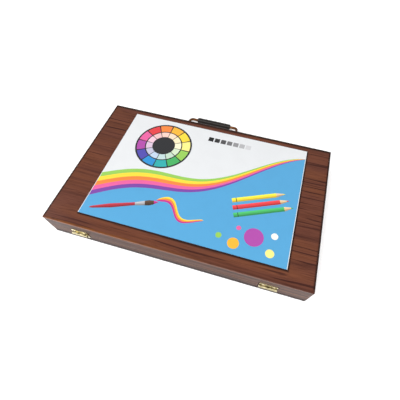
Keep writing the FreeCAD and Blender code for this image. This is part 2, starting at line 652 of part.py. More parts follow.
def handle_bail():
    """The bent wire of the handle, lying with its grip on the surface under the case."""
    axis = Vector(value("handle_shift"), value("handle_axis_y"), value("handle_axis_z"))
    grip = Vector(value("handle_shift"), value("grip_y"), value("grip_z"))
    reach = grip - axis
    eye_half = value("eye_length") / 2
    end = value("pivot_span") / 2 + eye_half + value("rod_overhang")
    root = value("pivot_span") / 2 - eye_half - value("leg_clearance") - value("rod_bend_radius")
    corner = value("grip_corner_span") / 2
    half = [(end, 0), (root, 0), (corner, 1)]
    outline = [(-across, along) for across, along in half] + half[::-1]
    points = [axis + Vector(across, 0, 0) + reach * along for across, along in outline]
    item = doc.addObject("Part::Feature", "bail")
    item.Shape = bent_rod(points, value("rod_bend_radius"), value("rod_diameter") / 2)
    item.Placement = Placement()
    keep(item, "handle_bail")


def handle(bracket_holes):
    """The bail, its grip sleeve and its two brackets."""
    handle_bail()
    bore = "rod_diameter / 2 + grip_clearance"
    outer = "grip_diameter / 2"
    corners = [(bore, "0"), (f"{outer} - grip_round", "0"), (outer, "grip_round"),
               (outer, "grip_length - grip_round"), (f"{outer} - grip_round", "grip_length"),
               (bore, "grip_length")]
    grip = turned("grip", corners)
    place(grip, "handle_shift - grip_length / 2", "grip_y", "grip_z", ALONG_X)
    keep(grip, "handle_grip")
    for number, (side, sign) in enumerate(SIDES):
        name = f"handle_{side}_bracket"
        x = f"handle_shift + {sign} * pivot_span / 2"
        plate = block(name + "_plate", "bracket_width", "bracket_thickness", "bracket_height", x,
                      "half_depth + bracket_thickness / 2", "handle_axis_z - bracket_height / 2")
        eye = rod(name + "_eye", "eye_diameter / 2", "eye_length", f"{x} - eye_length / 2", "handle_axis_y",
                  "handle_axis_z", ALONG_X)
        neck = block(name + "_neck", "eye_length", "handle_axis_y - half_depth", "eye_diameter", x,
                     "(handle_axis_y + half_depth) / 2", "handle_axis_z - eye_diameter / 2")
        bore = rod(name + "_bore", "rod_diameter / 2 + eye_clearance", "eye_length + 2 * overrun",
                   f"{x} - eye_length / 2 - overrun", "handle_axis_y", "handle_axis_z", ALONG_X)
        whole = join(name + "_whole", [plate, eye, neck])
        own = slice(2 * number, 2 * number + 2)
        keep(cut(name + "_drilled", whole, [bore] + bracket_holes[own]), name)


def groove(name, half, sink, length):
    """The space of a round-bottomed well, from outside the tray's face inward along its own Y."""
    owner = start_body(name)
    sketch = start_sketch(owner, "XY_Plane")
    rounded_strip(sketch, half, f"{sink} + overrun")
    pad(owner, sketch, f"{length} + 2 * well_clearance")
    return owner


def pastel_spots():
    """Each pastel's column position and the direction in which its row runs."""
    columns = int(value("pastel_columns"))
    middle = (columns - 1) / 2
    steps = [value("pastel_centre_x") + (step - middle) * value("pastel_pitch") for step in range(columns)]
    return [(x, row) for row in (-1, 1) for x in steps]


def pastels():
    """Sticks and wrappers, tips towards the finger trough. Gives back their wells."""
    stick = "pastel_diameter / 2 - wrapper_thickness - wrapper_clearance"
    corners = [("0", "0"), (f"{stick} / 2", "0"), (stick, "pastel_taper"), (stick, "pastel_length"),
               ("0", "pastel_length")]
    stick_body = turned("pastel_stick", corners)
    inner = "pastel_diameter / 2 - wrapper_thickness"
    outer = "pastel_diameter / 2"
    wrap_end = "pastel_length - wrapper_bare"
    wrap_body = turned("pastel_wrapper", [(inner, "wrapper_bare"), (outer, "wrapper_bare"), (outer, wrap_end),
                                          (inner, wrap_end)])
    sticks = []
    wells = []
    start = value("pastel_start_y")
    mouth = value("base_tray_level") + value("overrun")
    run = value("pastel_length") + 2 * value("well_clearance")
    for x, row in pastel_spots():
        turn = ALONG_Y if row > 0 else AGAINST_Y
        sticks.append(Placement(Vector(x, row * start, value("pastel_axis_z")), turn))
        well_start = start - value("well_clearance") if row > 0 else value("well_clearance") - start - run
        wells.append(Placement(Vector(x, well_start, mouth), ALONG_Y))
    keep(copies("pastel_sticks", stick_body, sticks), "pastel_sticks")
    keep(copies("pastel_wrappers", wrap_body, sticks), "pastel_wrappers")
    well = groove("pastel_well", "pastel_well_half", "pastel_sink", "pastel_length")
    return copies("pastel_wells", well, wells)


def cakes():
    """Watercolour cakes in a grid. Gives back their wells."""
    owner = start_body("cake")
    sketch = start_sketch(owner, "XY_Plane")
    rectangle(sketch, "cake_length / 2", "-cake_width / 2", "cake_width / 2")
    pad(owner, sketch, "cake_height")
    soften(owner, Vector(0, 0, 1), "cake_round")
    well = block("cake_well", "cake_length + 2 * well_clearance", "cake_width + 2 * well_clearance",
                 "cake_depth + overrun", "0", "0", "-well_clearance")
    columns = int(value("cake_columns"))
    rows = int(value("cake_rows"))
    low = value("base_tray_level") - value("cake_sink") - value("cake_height")
    places = []
    for column in range(columns):
        x = value("cake_centre_x") + (column - (columns - 1) / 2) * value("cake_pitch_x")
        for row in range(rows):
            y = (row - (rows - 1) / 2) * value("cake_pitch_y")
            places.append(Placement(Vector(x, y, low), UPRIGHT))
    keep(copies("paint_cakes", owner, places), "paint_cakes")
    return copies("cake_wells", well, places)


def base_tray(pastel_wells, cake_wells):
    """A formed sheet with a skirt down to the bottom panel, tubs under its wells and a finger trough."""
    height = "base_tray_level - panel_thickness"
    shell = block("base_tray_shell", "2 * tray_half_width", "2 * tray_half_depth", height, "0", "0",
                  "panel_thickness")
    hollow = block("base_tray_hollow", "2 * (tray_half_width - sheet_thickness)",
                   "2 * (tray_half_depth - sheet_thickness)", f"{height} - sheet_thickness + overrun", "0", "0",
                   "panel_thickness - overrun")
    sheet = cut("base_tray_sheet", shell, [hollow])
    pastel_tub = block("pastel_tub", "pastel_tub_width", "pastel_tub_depth", "pastel_depth + sheet_thickness",
                       "pastel_centre_x", "0", "base_tray_level - pastel_depth - sheet_thickness")
    cake_tub = block("cake_tub", "cake_columns * cake_pitch_x", "cake_rows * cake_pitch_y",
                     "cake_depth + sheet_thickness", "cake_centre_x", "0",
                     "base_tray_level - cake_depth - sheet_thickness")
    trough = block("finger_trough", "pastel_columns * pastel_pitch", "trough_width", "pastel_depth + overrun",
                   "pastel_centre_x", "0", "base_tray_level - pastel_depth")
    whole = join("base_tray_whole", [sheet, pastel_tub, cake_tub])
    opened = cut("base_tray_opened", whole, [trough])
    grooved = cut("base_tray_grooved", opened, [pastel_wells])
    keep(cut("base_tray_welled", grooved, [cake_wells]), "base_tray")


def pencil_patterns():
    """One pencil's wooden barrel and its lead, point upward."""
    owner = start_body("pencil_barrel")
    sketch = start_sketch(owner, "XY_Plane")
    corners = [(f"pencil_width / 2 * cos({turn} deg)", f"pencil_width / 2 * sin({turn} deg)")
               for turn in range(0, 360, 60)]
    polygon(sketch, corners)
    pad(owner, sketch, "barrel_length")
    outer = "pencil_width / 2 + overrun"
    inner = "lead_diameter / 2 + lead_clearance"
    slope = f"(cone_length - lead_bare) / (pencil_width / 2 - ({inner}))"
    cone_low = f"barrel_length - ({outer} - ({inner})) * {slope}"
    waste_high = "barrel_length + overrun"
    waste = turned("pencil_waste", [(inner, "barrel_length"), (outer, cone_low), (outer, waste_high),
                                    (inner, waste_high)])
    bore = rod("pencil_bore", inner, "barrel_length + 2 * overrun", "0", "0", "-overrun", UPRIGHT)
    bored = cut("pencil_bored", owner, [bore])
    barrel = cut("pencil_sharpened", bored, [waste])
    lead_half = "lead_diameter / 2"
    lead = turned("pencil_lead", [("0", "0"), (lead_half, "0"), (lead_half, "barrel_length"),
                                  ("lead_tip_diameter / 2", "pencil_length"), ("0", "pencil_length")])
    return barrel, lead


def pencil_positions():
    """Left to right: coloured pencils in groups, as many as fit, then graphite pencils."""
    pitch = value("pencil_pitch")
    last = value("graphite_last_x")
    graphite = [last - step * pitch for step in range(int(value("graphite_count")))]
    limit = min(graphite) - pitch
    coloured = []
    for index in range(int(value("pencil_count"))):
        group = index // int(value("pencil_group"))
        x = value("pencil_first_x") + index * pitch + group * value("pencil_group_gap")
        if x <= limit:
            coloured.append(x)
    return coloured, graphite


def pencils():
    """Coloured and graphite pencils. Gives back their wells."""
    barrel, lead = pencil_patterns()
    rear = -value("pencil_length") / 2
    mouth = value("lid_tray_level") - value("overrun")
    wells = []
    for kind, positions in zip(("colour", "graphite"), pencil_positions()):
        spots = [Placement(Vector(x, rear, value("pencil_axis_z")), ALONG_Y) for x in positions]
        keep(copies(f"{kind}_pencil_barrels", barrel, spots), f"{kind}_pencil_barrels")
        keep(copies(f"{kind}_pencil_leads", lead, spots), f"{kind}_pencil_leads")
        front = value("pencil_length") / 2 + value("well_clearance")
        wells += [Placement(Vector(x, front, mouth), AGAINST_Y) for x in positions]
    well = groove("pencil_well", "pencil_well_half", "pencil_sink", "pencil_length")
    return copies("pencil_wells", well, wells)


def brushes():
    """Paint brushes: handle, ferrule and tuft each. Gives back their wells."""
    tenon = "ferrule_bore - ferrule_clearance"
    ferrule_low = "brush_handle_length"
    ferrule_high = "brush_handle_length + ferrule_length"
    shoulder = "ferrule_diameter / 2"
    handle_turn = turned("brush_handle", [
        ("0", "0"), ("brush_end_diameter / 2", "0"), ("brush_half", "brush_handle_length * brush_swell_share"),
        (shoulder, ferrule_low), (tenon, ferrule_low), (tenon, f"{ferrule_low} + tenon_length"),
        ("0", f"{ferrule_low} + tenon_length")])
    ferrule = turned("brush_ferrule", [("ferrule_bore", ferrule_low), (shoulder, ferrule_low),
                                       (shoulder, ferrule_high), ("ferrule_bore", ferrule_high)])
    tuft = turned("brush_tuft", [
        ("0", f"{ferrule_high} - tuft_root"), (tenon, f"{ferrule_high} - tuft_root"), (tenon, ferrule_high),
        (f"({tenon}) * tuft_belly_share", f"{ferrule_high} + tuft_length / 2"),
        ("tuft_tip_diameter / 2", "brush_length"), ("0", "brush_length")])
    count = int(value("brush_count"))
    rear = -value("brush_length") / 2
    front = -rear + value("well_clearance")
    mouth = value("lid_tray_level") - value("overrun")
    positions = [value("brush_last_x") - step * value("brush_pitch") for step in range(count)]
    spots = [Placement(Vector(x, rear, value("pencil_axis_z")), ALONG_Y) for x in positions]
    for pattern, label in ((handle_turn, "brush_handles"), (ferrule, "brush_ferrules"), (tuft, "brush_tufts")):
        keep(copies(label, pattern, spots), label)
    wells = [Placement(Vector(x, front, mouth), AGAINST_Y) for x in positions]
    return copies("brush_wells", groove("brush_well", "brush_well_half", "pencil_sink", "brush_length"), wells)


def sharpener():
    """A wedge sharpener lying on its flat back, blade and screw towards the base."""
    x, y = "block_x", "sharpener_y"
    shell = block("sharpener_block", "sharpener_width", "sharpener_length", "sharpener_height", x, y, "block_z")
    recess = block("blade_recess", "blade_width + 2 * blade_clearance", "blade_length + 2 * blade_clearance",
                   "blade_thickness + overrun", x, y, "block_z - overrun")
    hole = rod("pencil_hole", "sharpener_bore_diameter / 2", "sharpener_length / 2 + overrun", x,
               f"{y} - sharpener_length / 2 - overrun", "block_z + sharpener_height / 2", ALONG_Y)
    screw_y = f"{y} + blade_length / 4"
    hole_radius = "blade_screw_shank_diameter / 2 + shank_clearance"
    thread = rod("blade_thread", hole_radius, "blade_thickness + blade_screw_length + shank_clearance", x,
                 screw_y, "block_z", UPRIGHT)
    recessed = cut("sharpener_recessed", shell, [recess])
    holed = cut("sharpener_holed", recessed, [hole])
    keep(cut("sharpener_threaded", holed, [thread]), "sharpener_body")
    blade = block("blade_plate", "blade_width", "blade_length", "blade_thickness", x, y, "block_z")
    blade_hole = rod("blade_hole", hole_radius, "blade_thickness + 2 * overrun", x, screw_y,
                     "block_z - overrun", UPRIGHT)
    keep(cut("blade_holed", blade, [blade_hole]), "sharpener_blade")
    head = "blade_screw_diameter / 2"
    shank = "blade_screw_shank_diameter / 2"
    screw = turned("blade_screw", [("0", "-blade_screw_height"), (f"{head} / 2", "-blade_screw_height"),
                                   (head, "0"), (shank, "0"), (shank, "blade_thickness + blade_screw_length"),
                                   ("0", "blade_thickness + blade_screw_length")])
    place(screw, x, screw_y, "block_z")
    keep(screw, "sharpener_screw")


def loose_blocks():
    """Eraser, sanding block with its abrasive sheet, and sharpener. Gives back their tubs and wells."""
    owner = start_body("eraser_block")
    sketch = start_sketch(owner, "XY_Plane")
    rectangle(sketch, "eraser_width / 2", "-eraser_length / 2", "eraser_length / 2")
    pad(owner, sketch, "eraser_height")
    soften(owner, Vector(0, 0, -1), "eraser_round")
    place(owner, "block_x", "eraser_y", "block_z")
    keep(owner, "eraser")
    wood = block("sanding_wood", "sanding_width", "sanding_fit", "sanding_height", "block_x", "sanding_y",
                 "block_z + abrasive_thickness")
    keep(wood, "sanding_block")
    sheet = block("abrasive", "sanding_width", "abrasive_fit", "abrasive_thickness", "block_x",
                  "sanding_y + (sanding_fit - abrasive_fit) / 2", "block_z")
    keep(sheet, "abrasive_sheet")
    sharpener()
    tubs = []
    wells = []
    room = "2 * well_clearance"
    edges = "2 * (well_clearance + sheet_thickness)"
    extents = (("sanding", "sanding_fit", "sanding_height + abrasive_thickness"),
               ("eraser", "eraser_length", "eraser_height"),
               ("sharpener", "sharpener_run", "sharpener_height"))
    for kind, long, high in extents:
        spot = ("block_x", f"{kind}_y")
        wells.append(block(kind + "_well", f"{kind}_width + {room}", f"{long} + {room}",
                           f"block_sink + {high} + overrun", *spot, "lid_tray_level - overrun"))
        tubs.append(block(kind + "_tub", f"{kind}_width + {edges}", f"{long} + {edges}",
                          f"block_sink + {high} + sheet_thickness", *spot, "lid_tray_level"))
    return tubs, bundle("block_wells", wells)


def lid_tray(tubs, wells):
    """A formed sheet with a skirt up to the top panel and tubs over its wells."""
    long_tub = block("long_tub", "long_high_x - long_low_x",
                     "long_length + 2 * (well_clearance + sheet_thickness)", "long_depth",
                     "(long_low_x + long_high_x) / 2", "0", "lid_tray_level")
    height = "lid_high - lid_tray_level"
    shell = block("lid_tray_shell", "2 * tray_half_width", "2 * tray_half_depth", height, "0", "0",
                  "lid_tray_level")
    hollow = block("lid_tray_hollow", "2 * (tray_half_width - sheet_thickness)",
                   "2 * (tray_half_depth - sheet_thickness)", f"{height} - sheet_thickness + overrun", "0", "0",
                   "lid_tray_level + sheet_thickness")
    tray = join("lid_tray_whole", [cut("lid_tray_sheet", shell, [hollow]), long_tub] + tubs)
    for index, group in enumerate(wells):
        tray = cut(f"lid_tray_welled_{index}", tray, [group])
    keep(tray, "lid_tray")


def check_and_export():
    """Stop on any failed object or bad shape, then write each sub-part to its own file."""
    doc.recompute()
    for item in doc.Objects:
        if {"Invalid", "Error"} & set(item.State):
            raise RuntimeError(f"{item.Name} failed: {item.State}")
    for item in pieces:
        if item.Shape.isNull() or not item.Shape.isValid() or not item.Shape.Solids:
            raise RuntimeError(f"{item.Label} has no valid solid")
    os.makedirs("parts", exist_ok=True)
    for item in pieces:
        item.Shape.exportStep(os.path.join("parts", item.Label + ".step"))


def make_case():
    """Wooden case, its card and its metal fittings."""
    hinge_x = pairs("hinge_spread", "hinge_screw_spread / 2", "hinge_shift")
    hinge_face = "-half_depth - leaf_thickness"
    hinge_base = pilot_holes("hinge_base_hole", "screw", hinge_x, hinge_face,
                             "hinge_axis_z - hinge_screw_drop", ALONG_Y)
    hinge_lid = pilot_holes("hinge_lid_hole", "screw", hinge_x, hinge_face,
                            "hinge_axis_z + hinge_screw_drop", ALONG_Y)
    latch_x = pairs("latch_spread", "(latch_width / 2 - nail_inset)")
    latch_face = "half_depth + latch_plate_thickness"
    latch_base = pilot_holes("latch_base_hole", "nail", latch_x, latch_face,
                             "latch_axis_z - (latch_edge + latch_reach) / 2", AGAINST_Y)
    latch_lid = pilot_holes("latch_keeper_hole", "nail", latch_x, latch_face,
                            "keeper_low + keeper_height / 2", AGAINST_Y)
    bracket_x = pairs("pivot_span", "bracket_screw_spread / 2", "handle_shift")
    bracket = pilot_holes("bracket_hole", "screw", bracket_x, "half_depth + bracket_thickness",
                          "handle_axis_z", AGAINST_Y)

    panel("bottom_panel", "0", Vector(0, 0, -1))
    walls("base", "panel_thickness", "base_height", hinge_base, latch_base + bracket)
    walls("lid", "lid_low", "lid_high", hinge_lid, latch_lid)
    panel("top_panel", "lid_high", Vector(0, 0, 1))
    label_card()
    hinges(hinge_base, hinge_lid)
    latches(latch_base, latch_lid)
    handle(bracket)

    screw = fastener("screw", True)
    nail = fastener("nail", False)
    fasteners("hinge_base_screws", screw, hinge_base, ALONG_Y)
    fasteners("hinge_lid_screws", screw, hinge_lid, ALONG_Y)
    fasteners("handle_bracket_screws", screw, bracket, AGAINST_Y)
    fasteners("latch_base_nails", nail, latch_base, AGAINST_Y)
    fasteners("latch_keeper_nails", nail, latch_lid, AGAINST_Y)


def make_contents():
    """Both trays and the drawing supplies in them."""
    base_tray(pastels(), cakes())
    tubs, block_wells = loose_blocks()
    lid_tray(tubs, [pencils(), brushes(), block_wells])


fill_sheet("Sizes", SIZES)
fill_sheet("Layout", [(alias, "=" + text, "worked out") for alias, text in LAYOUT])
doc.recompute()
make_case()
make_contents()
check_and_export()
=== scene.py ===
"""Finishes the art case: walnut, brass, the printed card, the trays and their drawing supplies."""

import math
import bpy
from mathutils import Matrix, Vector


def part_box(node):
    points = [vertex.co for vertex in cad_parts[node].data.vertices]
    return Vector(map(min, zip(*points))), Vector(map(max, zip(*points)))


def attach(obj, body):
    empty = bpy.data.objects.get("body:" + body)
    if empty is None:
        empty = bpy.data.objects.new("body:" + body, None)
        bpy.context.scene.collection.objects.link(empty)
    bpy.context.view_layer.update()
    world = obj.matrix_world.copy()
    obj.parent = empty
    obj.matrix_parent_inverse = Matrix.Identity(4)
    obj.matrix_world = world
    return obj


bl_info = {
    "name": "Art Case Finish",
    "version": (1, 0, 0),
    "blender": (4, 5, 0),
    "location": "3D View > Sidebar > Art Case",
    "description": "Finishes a hinged wooden case of drawing supplies and sets it in a studio",
    "category": "Object",
}

from functools import partial

import bmesh
import bpy
from bpy.props import FloatProperty, FloatVectorProperty, IntProperty, PointerProperty
from bpy.types import NodeSocket, Operator, Panel, PropertyGroup
from mathutils import Color, Matrix, Vector

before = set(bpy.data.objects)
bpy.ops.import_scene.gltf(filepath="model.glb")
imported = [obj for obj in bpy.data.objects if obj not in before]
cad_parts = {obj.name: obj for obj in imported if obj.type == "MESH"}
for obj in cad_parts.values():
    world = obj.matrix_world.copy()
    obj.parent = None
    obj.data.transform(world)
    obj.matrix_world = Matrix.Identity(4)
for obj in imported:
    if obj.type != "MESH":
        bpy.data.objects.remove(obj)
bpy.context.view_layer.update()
SIDES = ("left", "right")

# The colours of a set of 24: white, then round the colour circle, then earths, grey and black.
PALETTE = {
    "white": (0.90, 0.88, 0.80), "lemon": (0.93, 0.83, 0.25), "yellow": (0.95, 0.68, 0.05),
    "amber": (0.93, 0.46, 0.04), "orange": (0.88, 0.24, 0.05), "red": (0.74, 0.05, 0.06),
    "crimson": (0.62, 0.02, 0.10), "rose": (0.78, 0.12, 0.34), "pink": (0.82, 0.35, 0.52),
    "violet": (0.42, 0.07, 0.38), "purple": (0.20, 0.06, 0.36), "indigo": (0.08, 0.07, 0.40),
    "navy": (0.03, 0.13, 0.52), "blue": (0.03, 0.28, 0.64), "azure": (0.13, 0.48, 0.72),
    "teal": (0.03, 0.40, 0.40), "fir": (0.02, 0.25, 0.12), "green": (0.06, 0.42, 0.12),
    "leaf": (0.30, 0.58, 0.10), "ochre": (0.52, 0.40, 0.10), "sienna": (0.40, 0.19, 0.06),
    "umber": (0.20, 0.08, 0.03), "grey": (0.30, 0.30, 0.31), "black": (0.02, 0.02, 0.02),
}


def setting(kind, name, default, description, **limits):
    """A value that the user can change."""
    return kind(name=name, default=default, description=description, **limits)


colour = partial(setting, FloatVectorProperty, subtype="COLOR", size=3, min=0.0, max=1.0)
length = partial(setting, FloatProperty, unit="LENGTH", precision=4, min=0.0)
share = partial(setting, FloatProperty, subtype="FACTOR", min=0.0, max=1.0)
level = partial(setting, FloatProperty, min=0.0)
angle = partial(setting, FloatProperty, subtype="ANGLE")
whole = partial(setting, IntProperty, min=1)


class WoodSettings(PropertyGroup):
    """Walnut of the case and pale wood of the supplies."""
    deep: colour("Deep Walnut", (0.046, 0.0150, 0.0112), "Dark lines of the grain")
    mid: colour("Walnut", (0.126, 0.0430, 0.0272), "Ground of the grain")
    warm: colour("Warm Walnut", (0.158, 0.0532, 0.0272), "Lighter, redder patches")
    rim: colour("Rim", (0.36, 0.17, 0.07), "Bare wood on the two rims")
    arris: colour("Arris", (0.205, 0.066, 0.019), "Lacquer worn thin along the lid's hinge edge")
    # Stain of the lid's dark edges, and painted shade: the bottom panel, the walls' foot, round the hinges
    # and beside the card
    stain_and_shade: colour("Stain And Shade", (0.022, 0.010, 0.008), "Bottom panel, foot, grime and the lid's dark edges")
    pale: colour("Pale Wood", (0.66, 0.45, 0.26), "Sharpened pencil ends and the sanding block")
    edge_width: length("Edge Width", 0.0040, "Band of darker lacquer along the lid's edges")
    far_edge: share("Far Edge", 0.6, "Lower makes the handle side's dark edge wider")
    # Painted shadow of the card on the lid's wood
    card_shade: length("Card Shade", 0.0025, "Darker wood close beside the card")
    # Painted shadow along the walls' foot, where they meet the floor
    foot_shade_height: length("Foot Height", 0.0066, "Stained foot of the base's walls")
    # Painted shadow on the wall round each hinge
    hinge_shadow_width: length("Hinge Shadow Width", 0.0024, "Darker wood close round a hinge")
    # Grey painted into the hinge side's colour as a reflection of the bright floor
    reflection_grey: colour("Reflection Grey", (0.076, 0.0690, 0.0655), "Dulled lacquer of the hinge side")
    # Painted shade: the walls' colour darkened against the lid's top
    shade: share("Wall Shade", 0.5, "How much darker the walls are stained than the lid's top")


class LabelSettings(PropertyGroup):
    """Card on the lid and its print."""
    paper: colour("Paper", (0.74, 0.755, 0.77), "Card's face")
    # The card's cut edge is painted dark as the shadow line along its edges
    core: colour("Cut Edge Shade", (0.012, 0.011, 0.011), "Card's cut edge, in its own shade")
    sky: colour("Sky", (0.09, 0.36, 0.64), "Large field of the print")
    charcoal: colour("Charcoal", (0.022, 0.023, 0.026), "Ground of the colour circle")
    accent: colour("Accent", (0.55, 0.03, 0.25), "Brush's tip and the lowest line of its stroke")
    circle_radius: length("Circle Radius", 0.046, "Colour circle")
    ribbon_width: length("Ribbon Width", 0.0085, "One ribbon at the card's left edge")
    margin: length("Margin", 0.0009, "Bare paper beside the field")
    ink_lift: length("Ink Lift", 0.00005, "One layer of ink above the next")


class MetalSettings(PropertyGroup):
    """Brass fittings, the handle and the steel of small tools."""
    brass: colour("Brass", (0.80, 0.71, 0.49), "Latches and fasteners")
    hinge: colour("Hinge Brass", (0.95, 0.85, 0.54), "Leaves and pins of the hinges")
    # Painted shade: the right hinge's leaves darkened inside their rims
    hinge_shade: share("Age", 0.5, "How dull the right hinge is next to the left one")
    bail: colour("Bail", (0.17, 0.065, 0.024), "Handle's wire and brackets")
    # Tarnish in the hinges' hollows, and also the colour of the right hinge's painted shade
    tarnish: colour("Tarnish", (0.085, 0.062, 0.022), "Olive film on the hinges")
    steel: colour("Steel", (0.60, 0.61, 0.62), "Ferrules and the sharpener's blade")


class PlasticSettings(PropertyGroup):
    """Moulded and formed plastics and rubber."""
    grip: colour("Grip", (0.016, 0.011, 0.009), "Handle's sleeve")
    tray: colour("Tray", (0.014, 0.014, 0.015), "Formed trays")
    sharpener: colour("Sharpener", (0.03, 0.10, 0.30), "Sharpener's body")
    eraser: colour("Eraser", (0.78, 0.78, 0.76), "Eraser")


class SupplySettings(PropertyGroup):
    """Spacing and finish of the drawing supplies."""
    pencil_pitch: length("Pencil Pitch", 0.0104, "Between neighbouring pencils")
    pencil_group: whole("Pencil Group", 8, "Pencils between two wider spaces")
    pencil_gap: length("Pencil Gap", 0.009, "Extra space between groups of pencils")
    dip_length: length("Dip Length", 0.013, "Coloured end of a pencil")
    pastel_pitch: length("Pastel Pitch", 0.0132, "Between neighbouring pastels")
    pastel_row: whole("Pastel Row", 12, "Pastels in one row")
    wrapper_length: length("Wrapper Length", 0.052, "Paper along a pastel")
    cake_pitch_x: length("Cake Pitch X", 0.041, "Between neighbouring cakes, along the case")
    cake_pitch_y: length("Cake Pitch Y", 0.032, "Between neighbouring cakes, across the case")
    lacquer: colour("Lacquer", (0.016, 0.016, 0.018), "Pencil barrels")
    graphite: colour("Graphite", (0.05, 0.05, 0.055), "Leads of the plain pencils")
    graphite_dip: colour("Graphite Dip", (0.62, 0.62, 0.60), "Dipped ends of the plain pencils")
    wrapper: colour("Wrapper", (0.74, 0.73, 0.70), "Paper round the pastels")
    brush: colour("Brush Handle", (0.16, 0.018, 0.014), "Lacquer of the brushes")
    hair: colour("Hair", (0.30, 0.15, 0.06), "Brush tufts")
    hair_tip: colour("Hair Tip", (0.06, 0.03, 0.015), "Points of the tufts")
    grit: colour("Grit", (0.16, 0.13, 0.11), "Abrasive sheet")


class StageSettings(PropertyGroup):
    """Studio and camera."""
    floor: colour("Floor", (0.93, 0.93, 0.93), "Plain floor")
    glow: level("Glow", 0.24, "Light from under the floor")
    far_glow: level("Far Glow", 0.45, "Light from under the floor, far away")
    horizon: level("Horizon", 1.0, "Light from low down")
    ceiling: level("Ceiling", 0.35, "Light from overhead")
    key_power: level("Key Power", 24.0, "Large soft light over the camera", subtype="POWER")
    fill_power: level("Fill Power", 7.0, "Soft light from each side", subtype="POWER")
    eye: setting(FloatVectorProperty, "Eye", (0.09239, -0.22801, 0.39856), "Camera's place",
                 subtype="TRANSLATION", unit="LENGTH")
    azimuth: angle("Azimuth", math.radians(14.581), "Camera round from the rear")
    elevation: angle("Elevation", math.radians(60.132), "Camera above the floor")
    roll: angle("Roll", math.radians(1.672), "Camera's tilt")
    lens: setting(FloatProperty, "Lens", 25.53, "Focal length in millimetres", unit="CAMERA", min=1.0)
    shift: setting(FloatVectorProperty, "Shift", (-0.04515, 0.0137), "Lens shift", size=2)


class ArtCaseSettings(PropertyGroup):
    """All of the case's settings."""
    wood: PointerProperty(type=WoodSettings)
    label: PointerProperty(type=LabelSettings)
    metal: PointerProperty(type=MetalSettings)
    plastic: PointerProperty(type=PlasticSettings)
    supply: PointerProperty(type=SupplySettings)
    stage: PointerProperty(type=StageSettings)


def node(kind, inputs, **settings):
    """A shader node in the tree that its links come from, with values or links in its inputs."""
    tree = next(given.id_data for given in inputs.values() if isinstance(given, NodeSocket))
    made = tree.nodes.new("ShaderNode" + kind)
    for name, value in settings.items():
        setattr(made, name, value)
    for key, given in inputs.items():
        socket = made.inputs[key]
        if isinstance(given, NodeSocket):
            tree.links.new(given, socket)
        else:
            socket.default_value = (*given, 1.0) if socket.type == "RGBA" else given
    return made


def calc(operation, first, second=0.0):
    """One sum."""
    return node("Math", {0: first, 1: second}, operation=operation).outputs[0]


plus, minus, times = (partial(calc, operation) for operation in ("ADD", "SUBTRACT", "MULTIPLY"))
least, most = (partial(calc, operation) for operation in ("MINIMUM", "MAXIMUM"))
below, above = (partial(calc, operation) for operation in ("LESS_THAN", "GREATER_THAN"))


def distance(given, middle=0.0):
    """How far a value is from another, either way."""
    return calc("ABSOLUTE", minus(given, middle))


def beyond(given, low, high):
    """How far a value lies outside a span, below 0 inside it."""
    return most(minus(low, given), minus(given, high))


def cell(given, start, pitch):
    """Number of the cell of a row that a value lies in."""
    return calc("FLOOR", calc("DIVIDE", minus(given, start), pitch))


def band(given, low, high):
    """A smooth rise from 0 at low to 1 at high."""
    return node("MapRange", {"Value": given, "From Min": low, "From Max": high},
                interpolation_type="SMOOTHSTEP").outputs[0]


def mixed(factor, first, second, blend="MIX"):
    """Two colours mixed by a mask."""
    return node("Mix", {0: factor, 6: first, 7: second}, data_type="RGBA", blend_type=blend).outputs[2]


def noise(place, factors, detail=2.0, roughness=0.55):
    """Noise with so many features a metre along each axis."""
    spread = node("VectorMath", {0: place, 1: factors}, operation="MULTIPLY").outputs[0]
    given = {"Vector": spread, "Scale": 1.0, "Detail": detail, "Roughness": roughness}
    return node("TexNoise", given).outputs[0]


def parts(place):
    """The three numbers of a vector."""
    return node("SeparateXYZ", {0: place}).outputs


def grouped(name, build, outputs, **inputs):
    """Outputs of a node group, made once: build() gives them from inputs of these kinds and values."""
    tree = bpy.data.node_groups.get(name)
    if tree is None:
        tree = bpy.data.node_groups.new(name, "ShaderNodeTree")
        kinds = {label: kind for label, (kind, _) in inputs.items()}
        for way, sockets in (("INPUT", kinds), ("OUTPUT", outputs)):
            for label, kind in sockets.items():
                tree.interface.new_socket(label, in_out=way, socket_type="NodeSocket" + kind)
        results = build(tree.nodes.new("NodeGroupInput").outputs)
        out = tree.nodes.new("NodeGroupOutput").inputs
        for label, result in zip(outputs, results):
            tree.links.new(result, out[label])
    values = {label: value for label, (_, value) in inputs.items()}
    return node("Group", values, node_tree=tree).outputs


def wood_grain(given):
    """Wood grain along X: broad patches, dark lines, fine fibres and open pores."""
    place = given["Place"]
    bend = noise(place, (6.0, 22.0, 22.0), detail=1.0)
    lifted = node("VectorMath", {0: (0.0, 0.010, 0.010), "Scale": bend}, operation="SCALE").outputs[0]
    wavy = node("VectorMath", {0: place, 1: lifted}, operation="ADD").outputs[0]
    patches = band(noise(wavy, (3.2, 34.0, 34.0)), 0.42, 0.66)
    broad = band(noise(wavy, (4.0, 120.0, 120.0), detail=3.0, roughness=0.62), 0.45, 0.70)
    sharp = band(noise(wavy, (6.0, 260.0, 260.0)), 0.55, 0.63)
    clusters = band(noise(wavy, (2.4, 20.0, 20.0), detail=1.0), 0.30, 0.56)
    lines = plus(times(broad, 0.42), times(sharp, clusters))
    fibres = noise(wavy, (16.0, 820.0, 820.0))
    pores = band(noise(wavy, (42.0, 1500.0, 1500.0), detail=1.0), 0.60, 0.72)
    ground = mixed(patches, given["Mid"], given["Warm"])
    lined = mixed(times(lines, 0.88), ground, given["Deep"])
    shaded = mixed(times(pores, 0.55), lined, given["Deep"])
    tint = mixed(0.45, shaded, fibres, "SOFT_LIGHT")
    rough = plus(times(fibres, 0.16), 0.14)
    raised = minus(times(fibres, 0.5), times(pores, 0.6))
    return tint, rough, minus(raised, times(lines, 0.3))


